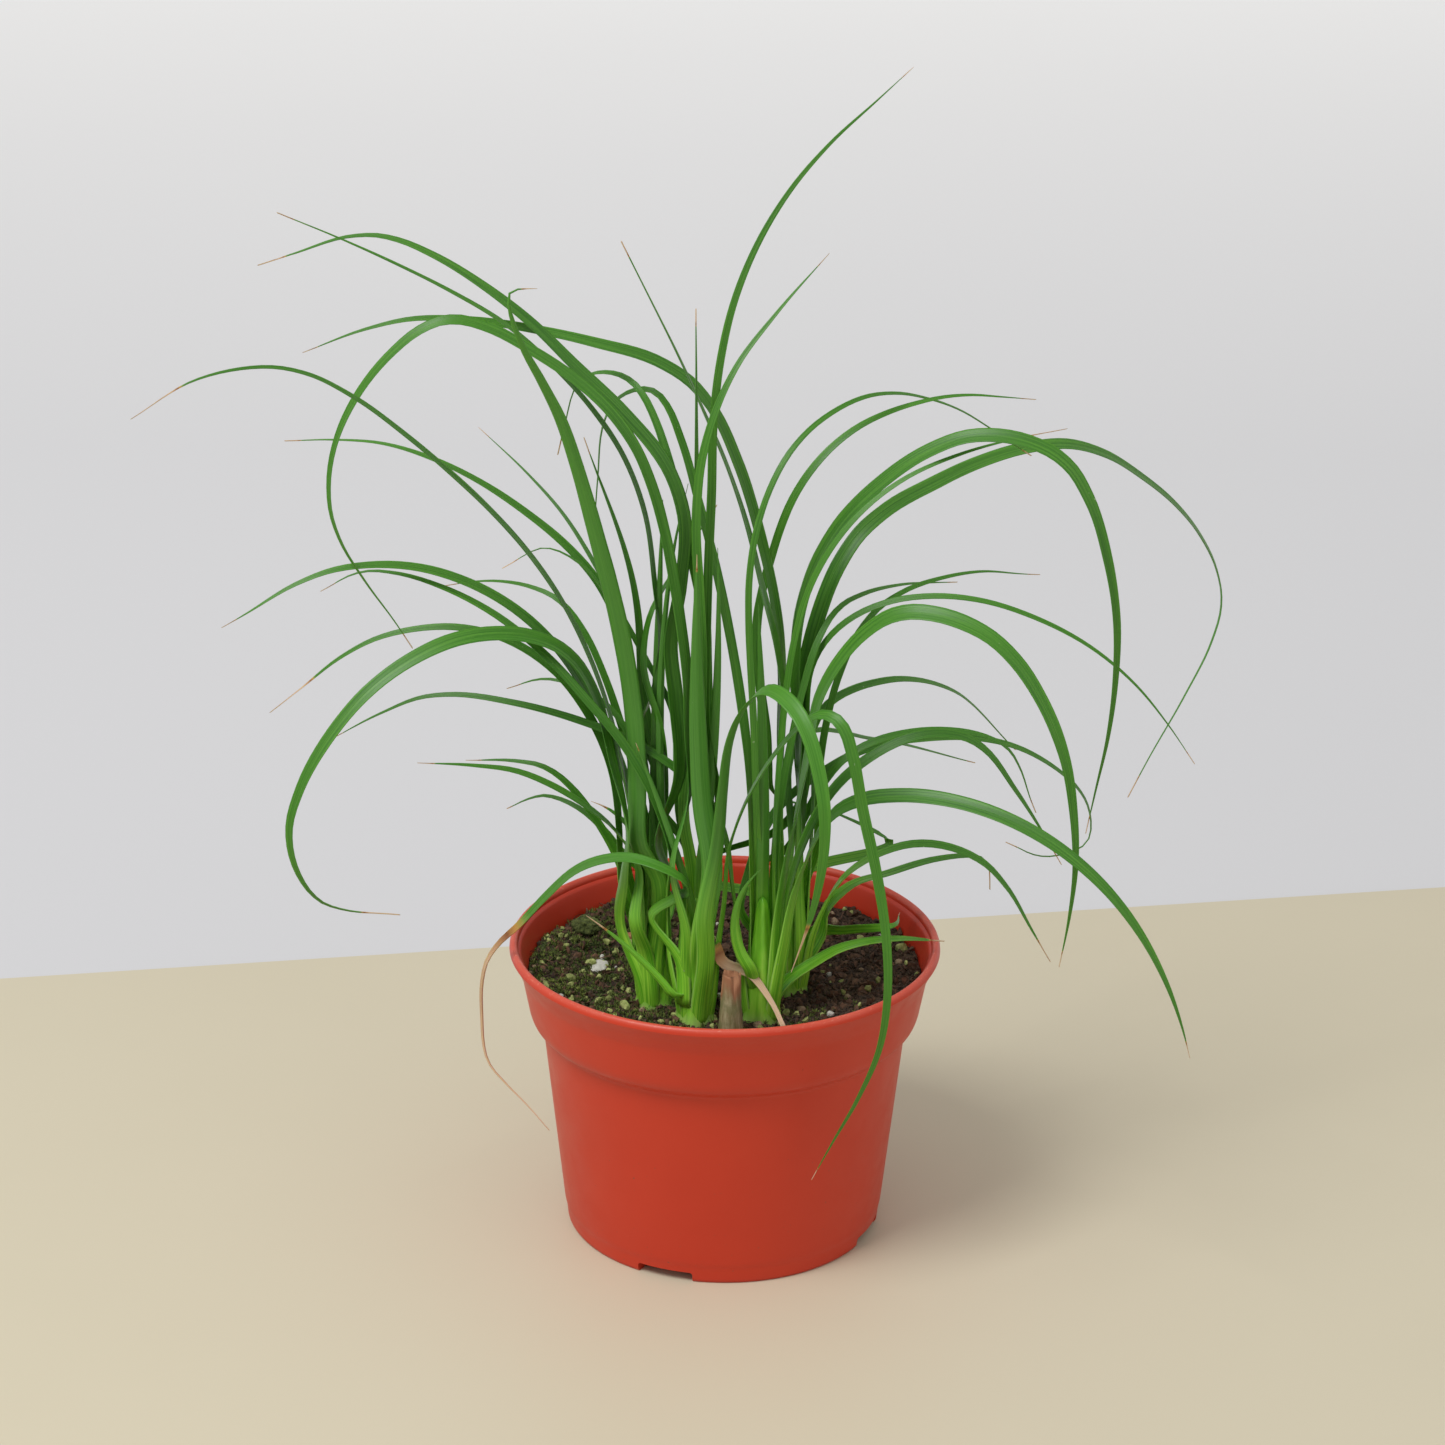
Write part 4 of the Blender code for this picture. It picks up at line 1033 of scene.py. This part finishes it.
# Small leaves between the others. Each starts to the right of the middle of its shoot's stalk, in front of
# it and above the soil (mm), leans to the right from upright at its foot and bends on to the right over its
# length (degrees, or to the left where they are below 0). late is how much of the bend is kept for the tip.
SmallLeaf = namedtuple("SmallLeaf", "name shoot right front up length lean bend late width tone dry")
SMALL_LEAVES = (
    SmallLeaf("inner_a1", "a", 0, 1, 32, 97, 0, 2, 1, 3.2, 0.3, 0),
    SmallLeaf("inner_a2", "a", 2, 3, 37, 97, -2, 16, 2, 2.2, 0.55, 0),
    SmallLeaf("inner_b1", "b", 1, -1, 37, 82, 7, -9, 1, 2.8, 0.75, 0),
    SmallLeaf("inner_c1", "c", 0, -1, 35, 70, 0, -3, 1, 3.4, 1.0, 0),
    SmallLeaf("crossing", "b", -1, 6, 32, 43, -15, -6, 1, 2.0, 0.6, 2),
    SmallLeaf("pale_strap", "c", -3, 6, 15, 28, -35, 80, 1, 2.6, 0.85, 0),
    SmallLeaf("low_dark", "b", -5, 5, 7, 30, -36, -18, 1, 1.6, 0.1, 5),
    SmallLeaf("wisp_left", "a", 0, 2, 47, 90, -8, -150, 5, 1.3, 0.1, 3),
    SmallLeaf("fold_left", "a", -1, 1, 29, 30, -3, -70, 1.5, 2.0, 0.6, 3),
)
SMALL_LEAF_STEPS = 8


def small_leaf_line(start, leaf):
    """Points along a small leaf, which turns as it goes."""
    points = [start]
    for i in range(SMALL_LEAF_STEPS):
        share = (i + 0.5) / SMALL_LEAF_STEPS
        turn = math.radians(leaf.lean + leaf.bend * share ** leaf.late)
        step = Vector((math.sin(turn), 0.0, math.cos(turn))) * (leaf.length * MM / SMALL_LEAF_STEPS)
        points.append(points[-1] + step)
    return points


def make_small_leaves():
    material = leaf_finish()
    for number, leaf in enumerate(SMALL_LEAVES):
        foot, radius = stalk_of("leaf_" + leaf.shoot)
        start = foot + Vector((leaf.right, -leaf.front, leaf.up)) * MM
        away = Vector((start.x - foot.x, start.y - foot.y, 0.0))
        root = foot + away.normalized() * (0.5 * radius) + UP * (6.0 * MM)
        points = [root, root.lerp(start, 0.5)] + small_leaf_line(start, leaf)
        count = len(points)
        taper = [leaf.width * MM * (1.0 - (i / (count - 1)) ** 3) for i in range(count)]
        spine = Spine(points, [Vector((1.0, 0.25, 0.0))] * count, taper)
        piece = make_blade("blade_" + leaf.name, spine, material, sheath=14.0 * MM,
                           sheath_width=1.5 * leaf.width * MM, dry_length=leaf.dry * MM, tone=leaf.tone,
                           seed=80.0 + number)
        keep(piece, "leaf")


def make_drooping_leaf():
    """The leaf that hangs over the rim, dry from where it passes the rim on its way down."""
    material = leaf_finish()
    spine = spine_of("drooping_leaf")
    over = spine.centres[:, 2].argmax()
    beyond = np.flatnonzero(spine.centres[:, 2] < POT_HEIGHT + 2.0 * MM)
    beyond = beyond[beyond > over][0]
    dry_length = spine.runs[-1] - spine.runs[beyond]
    piece = make_blade("drooping_blade", spine, material, sheath=20.0 * MM, sheath_width=7.0 * MM,
                       dry_length=dry_length, tone=0.8, seed=61.0, curl=0.8)
    keep(piece, "drooping_leaf", "drooping_leaf")


def make_dry_strip():
    """The cut leaf end, a little wider than its solid, which is slim to lie clear of its neighbours."""
    material = leaf_finish()
    spine = spine_of("dry_strip")
    spine.widths = np.maximum(1.35 * spine.widths, 0.6 * spine.widths.max())
    length = spine.runs[-1]
    piece = make_blade("dry_strip_blade", spine, material, dry_length=0.72 * length, tone=0.7, seed=62.0,
                       cut=True)
    keep(piece, "dry_leaf", "dry_strip")


# ---------------------------------------------------------------- shoots, stump and scraps


def make_shoots():
    material = sheath_finish()
    for node in sorted(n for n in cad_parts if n.startswith("shoot_")):
        foot, radius = stalk_of("leaf_" + node[6])
        low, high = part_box(node)
        rings, pale = [], []
        for i in range(STALK_LEVELS + 1):
            share = i / STALK_LEVELS
            z = low.z + (high.z - 0.5 * MM - low.z) * share
            rise = z - foot.z
            swell = 1.0 + 0.22 * math.exp(-(((rise + 3.0 * MM) / (4.5 * MM)) ** 2))
            taper = 1.0 - 0.62 * float(ramp(rise, 2.0 * MM, high.z - foot.z))
            close = math.sqrt(max(0.02, 1.0 - (1.0 - min(1.0, share / 0.12)) ** 2))
            tip = math.sqrt(max(0.01, 1.0 - max(0.0, (share - 0.9) / 0.1) ** 2))
            girth = radius * swell * taper * close * tip
            ring = []
            for j in range(STALK_COLUMNS):
                angle = 2.0 * math.pi * j / STALK_COLUMNS
                fold = 0.06 * math.sin(5.0 * angle + 3.0 * foot.x / MM + 40.0 * rise)
                fine = 0.02 * wobble((angle, 0.3 * z / MM, foot.x / MM), 0.3, 1.0)
                ring.append(Vector((foot.x, foot.y, z)) + polar(girth * (1.0 + fold + fine), angle))
            rings.append(ring)
            pale += [float(ramp(-rise, -3.0 * MM, 2.0 * MM))] * STALK_COLUMNS
        piece = tube_solid("stalk_" + node[6], rings, material)
        set_values(piece, "paleness", pale + [1.0, 0.0])
        keep(piece, "shoot", node)


def stump_finish():
    """Papery, fibrous husk, greenish in places and torn brown at its top."""
    f = Finish("stump_husk")
    fibres = f.noise(700.0, 4.0, 0.65, f.stretched((1.0, 1.0, 0.12)))
    colour = f.ramp(fibres, (0.3, (0.075, 0.065, 0.025)), (0.5, (0.24, 0.19, 0.085)),
                    (0.7, (0.46, 0.41, 0.24)))
    green = f.ramp(f.noise(300.0, 3.0, 0.6), (0.45, 0.0), (0.62, 0.55))
    colour = f.mix(green, colour, (0.14, 0.16, 0.05))
    colour = f.mix(f.value("torn"), colour, (0.34, 0.15, 0.07))
    return f.finish(Base_Color=colour, Roughness=0.75, Normal=f.bump(fibres, 0.7, 0.5 * MM))


def make_stump():
    low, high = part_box("old_stump")
    middle = (low + high) / 2.0
    radius = (high.x - low.x) / 2.0
    rings, torn = [], []
    for i in range(STUMP_LEVELS + 1):
        share = i / STUMP_LEVELS
        belly_all = 1.0 - 0.28 * share**1.5
        ring = []
        for j in range(STUMP_COLUMNS):
            angle = 2.0 * math.pi * j / STUMP_COLUMNS
            ragged = 1.0 + 0.10 * math.sin(3.0 * angle + 1.0) + 0.06 * math.sin(7.0 * angle)
            notch = 1.0 - math.cos(3.0 * angle + 0.6 * math.sin(5.0 * angle))
            z = low.z + (high.z - low.z) * share * (1.0 - 0.12 * notch * share**3)
            belly = belly_all + 0.05 * math.sin(7.0 * share + 2.0 * math.sin(angle))
            fold = 0.05 * wobble((angle, 2.5 * share, 0.0), 0.25, 4.0)
            girth = radius * belly * (0.94 + 0.06 * ragged + fold)
            ring.append(Vector((middle.x, middle.y, z)) + polar(girth, angle))
            torn.append(float(ramp(share, 0.72, 0.98)))
        rings.append(ring)
    axis = middle.xy.to_3d()
    for depth, share in ((0.5 * MM, 0.82), (2.2 * MM, 0.70), (3.2 * MM, 0.3)):
        ring = [axis + (p - axis) * share for p in rings[STUMP_LEVELS]]
        rings.append([Vector((p.x, p.y, high.z - depth)) for p in ring])
        torn += [1.0] * STUMP_COLUMNS
    piece = tube_solid("stump", rings, stump_finish())
    set_values(piece, "torn", torn + [0.0, 1.0])
    recalculate(piece)
    keep(piece, "bark", "old_stump")


def lump(name, node, slot, material, rough, size, detail=4):
    """A finer lump in the place and of the size of a solid."""
    low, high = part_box(node)
    middle, half = (low + high) / 2.0, (high - low) / 2.0
    shape = bmesh.new()
    bmesh.ops.create_icosphere(shape, subdivisions=detail, radius=1.0)
    for v in shape.verts:
        place = Vector(v.co[k] * half[k] for k in range(3))
        swell = 1.0 + rough * wobble(place, size, 5.0) + 0.5 * rough * wobble(place, 0.4 * size, 6.0)
        place *= swell * 0.95
        v.co = middle + place
    piece = object_of(shape, name)
    piece.data.shade_smooth()
    piece.data.materials.append(material)
    bpy.context.scene.collection.objects.link(piece)
    return keep(piece, slot, node)


def make_scraps():
    bark = grain_finish("bark", (0.30, 0.11, 0.04), (0.62, 0.32, 0.15), 500.0, 0.8, 0.8)
    husk = grain_finish("husk", (0.55, 0.53, 0.46), (0.82, 0.81, 0.74), 700.0, 0.7)
    moss = grain_finish("moss", (0.035, 0.05, 0.01), (0.20, 0.24, 0.06), 1100.0, 1.0, 1.0)
    lump("bark_flake", "bark_chip", "bark", bark, 0.25, 2.0 * MM)
    lump("seed_husk", "husk", "husk", husk, 0.3, 2.5 * MM)
    lump("moss_pad", "moss_cushion", "moss", moss, 0.3, 1.6 * MM, detail=5)


# ---------------------------------------------------------------- stage


def table_finish():
    f = Finish("table")
    colour = f.mix(f.noise(9.0, 3.0), (0.575, 0.520, 0.385), (0.600, 0.545, 0.408))
    return f.finish(Base_Color=colour, Roughness=0.55, Normal=f.bump(f.noise(700.0, 2.0), 0.02, 0.2 * MM))


def backdrop_finish():
    """Pale grey, with painted light: darker just behind the table and lighter further back."""
    f = Finish("backdrop")
    depth = f.node("ShaderNodeSeparateXYZ", {0: f.object}).outputs["Y"]
    # Painted light falloff: the ground is painted darker just behind the table and lighter further back.
    painted_light_falloff = f.node("ShaderNodeMapRange", {"Value": depth, "From Min": 0.15, "From Max": 1.9}).outputs[0]
    colour = f.ramp(painted_light_falloff, (0.0, (0.455, 0.455, 0.47)), (0.3, (0.56, 0.56, 0.575)),
                    (1.0, (1.0, 1.0, 1.0)))
    colour = f.mix(f.noise(3.0, 2.0), colour, f.mix(0.04, colour, (0.5, 0.5, 0.5)))
    return f.finish(Base_Color=colour, Roughness=0.9, Emission_Color=(1.0, 1.0, 1.0, 1.0),
                    Emission_Strength=0.15)


def make_stage():
    """A pale table with its back edge behind the plant, on a paler ground."""
    slope = (EDGE_RIGHT - EDGE_LEFT) / (2.0 * EDGE_ACROSS)
    middle = (EDGE_LEFT + EDGE_RIGHT) / 2.0
    reach, wide, drop = TABLE_REACH, BACKDROP_REACH, -BACKDROP_DROP
    table = [(-reach, -reach, 0.0), (reach, -reach, 0.0), (reach, middle + slope * reach, 0.0),
             (-reach, middle - slope * reach, 0.0)]
    backdrop = [(-wide, -wide, drop), (wide, -wide, drop), (wide, wide, drop), (-wide, wide, drop)]
    new_piece("table", table, [(0, 1, 2, 3)], table_finish(), smooth=False)
    new_piece("backdrop", backdrop, [(0, 1, 2, 3)], backdrop_finish(), smooth=False)


def make_light():
    world = bpy.data.worlds.new("studio")
    world.use_nodes = True
    world.node_tree.nodes["Background"].inputs["Color"].default_value = (1.0, 0.99, 0.975, 1.0)
    world.node_tree.nodes["Background"].inputs["Strength"].default_value = 0.60
    bpy.context.scene.world = world
    lamps = (("key", (-0.65, -0.6, 1.4), 0.6, 16.5), ("fill", (1.3, -0.9, 0.9), 1.4, 2.0))
    for name, place, size, power in lamps:
        light = bpy.data.lights.new(name, "AREA")
        light.size = size
        light.energy = power
        lamp = bpy.data.objects.new(name, light)
        lamp.location = place
        lamp.rotation_euler = (Vector((0.0, 0.0, 0.1)) - lamp.location).to_track_quat("-Z", "Y").to_euler()
        bpy.context.scene.collection.objects.link(lamp)


def make_camera():
    data = bpy.data.cameras.new("camera")
    data.lens = CAMERA_LENS
    data.sensor_width = SENSOR
    camera = bpy.data.objects.new("camera", data)
    ahead = (CAMERA_AIM - CAMERA_PLACE).to_track_quat("-Z", "Y").to_matrix().to_4x4()
    camera.matrix_world = Matrix.Translation(CAMERA_PLACE) @ ahead @ Matrix.Rotation(CAMERA_ROLL, 4, "Z")
    bpy.context.scene.collection.objects.link(camera)
    bpy.context.scene.camera = camera
    bpy.context.scene.view_settings.view_transform = "Standard"


make_camera()
make_stage()
make_light()
make_pot()
make_soil()
make_litter()
make_shoots()
make_stump()
make_scraps()
make_leaves()
make_small_leaves()
make_drooping_leaf()
make_dry_strip()
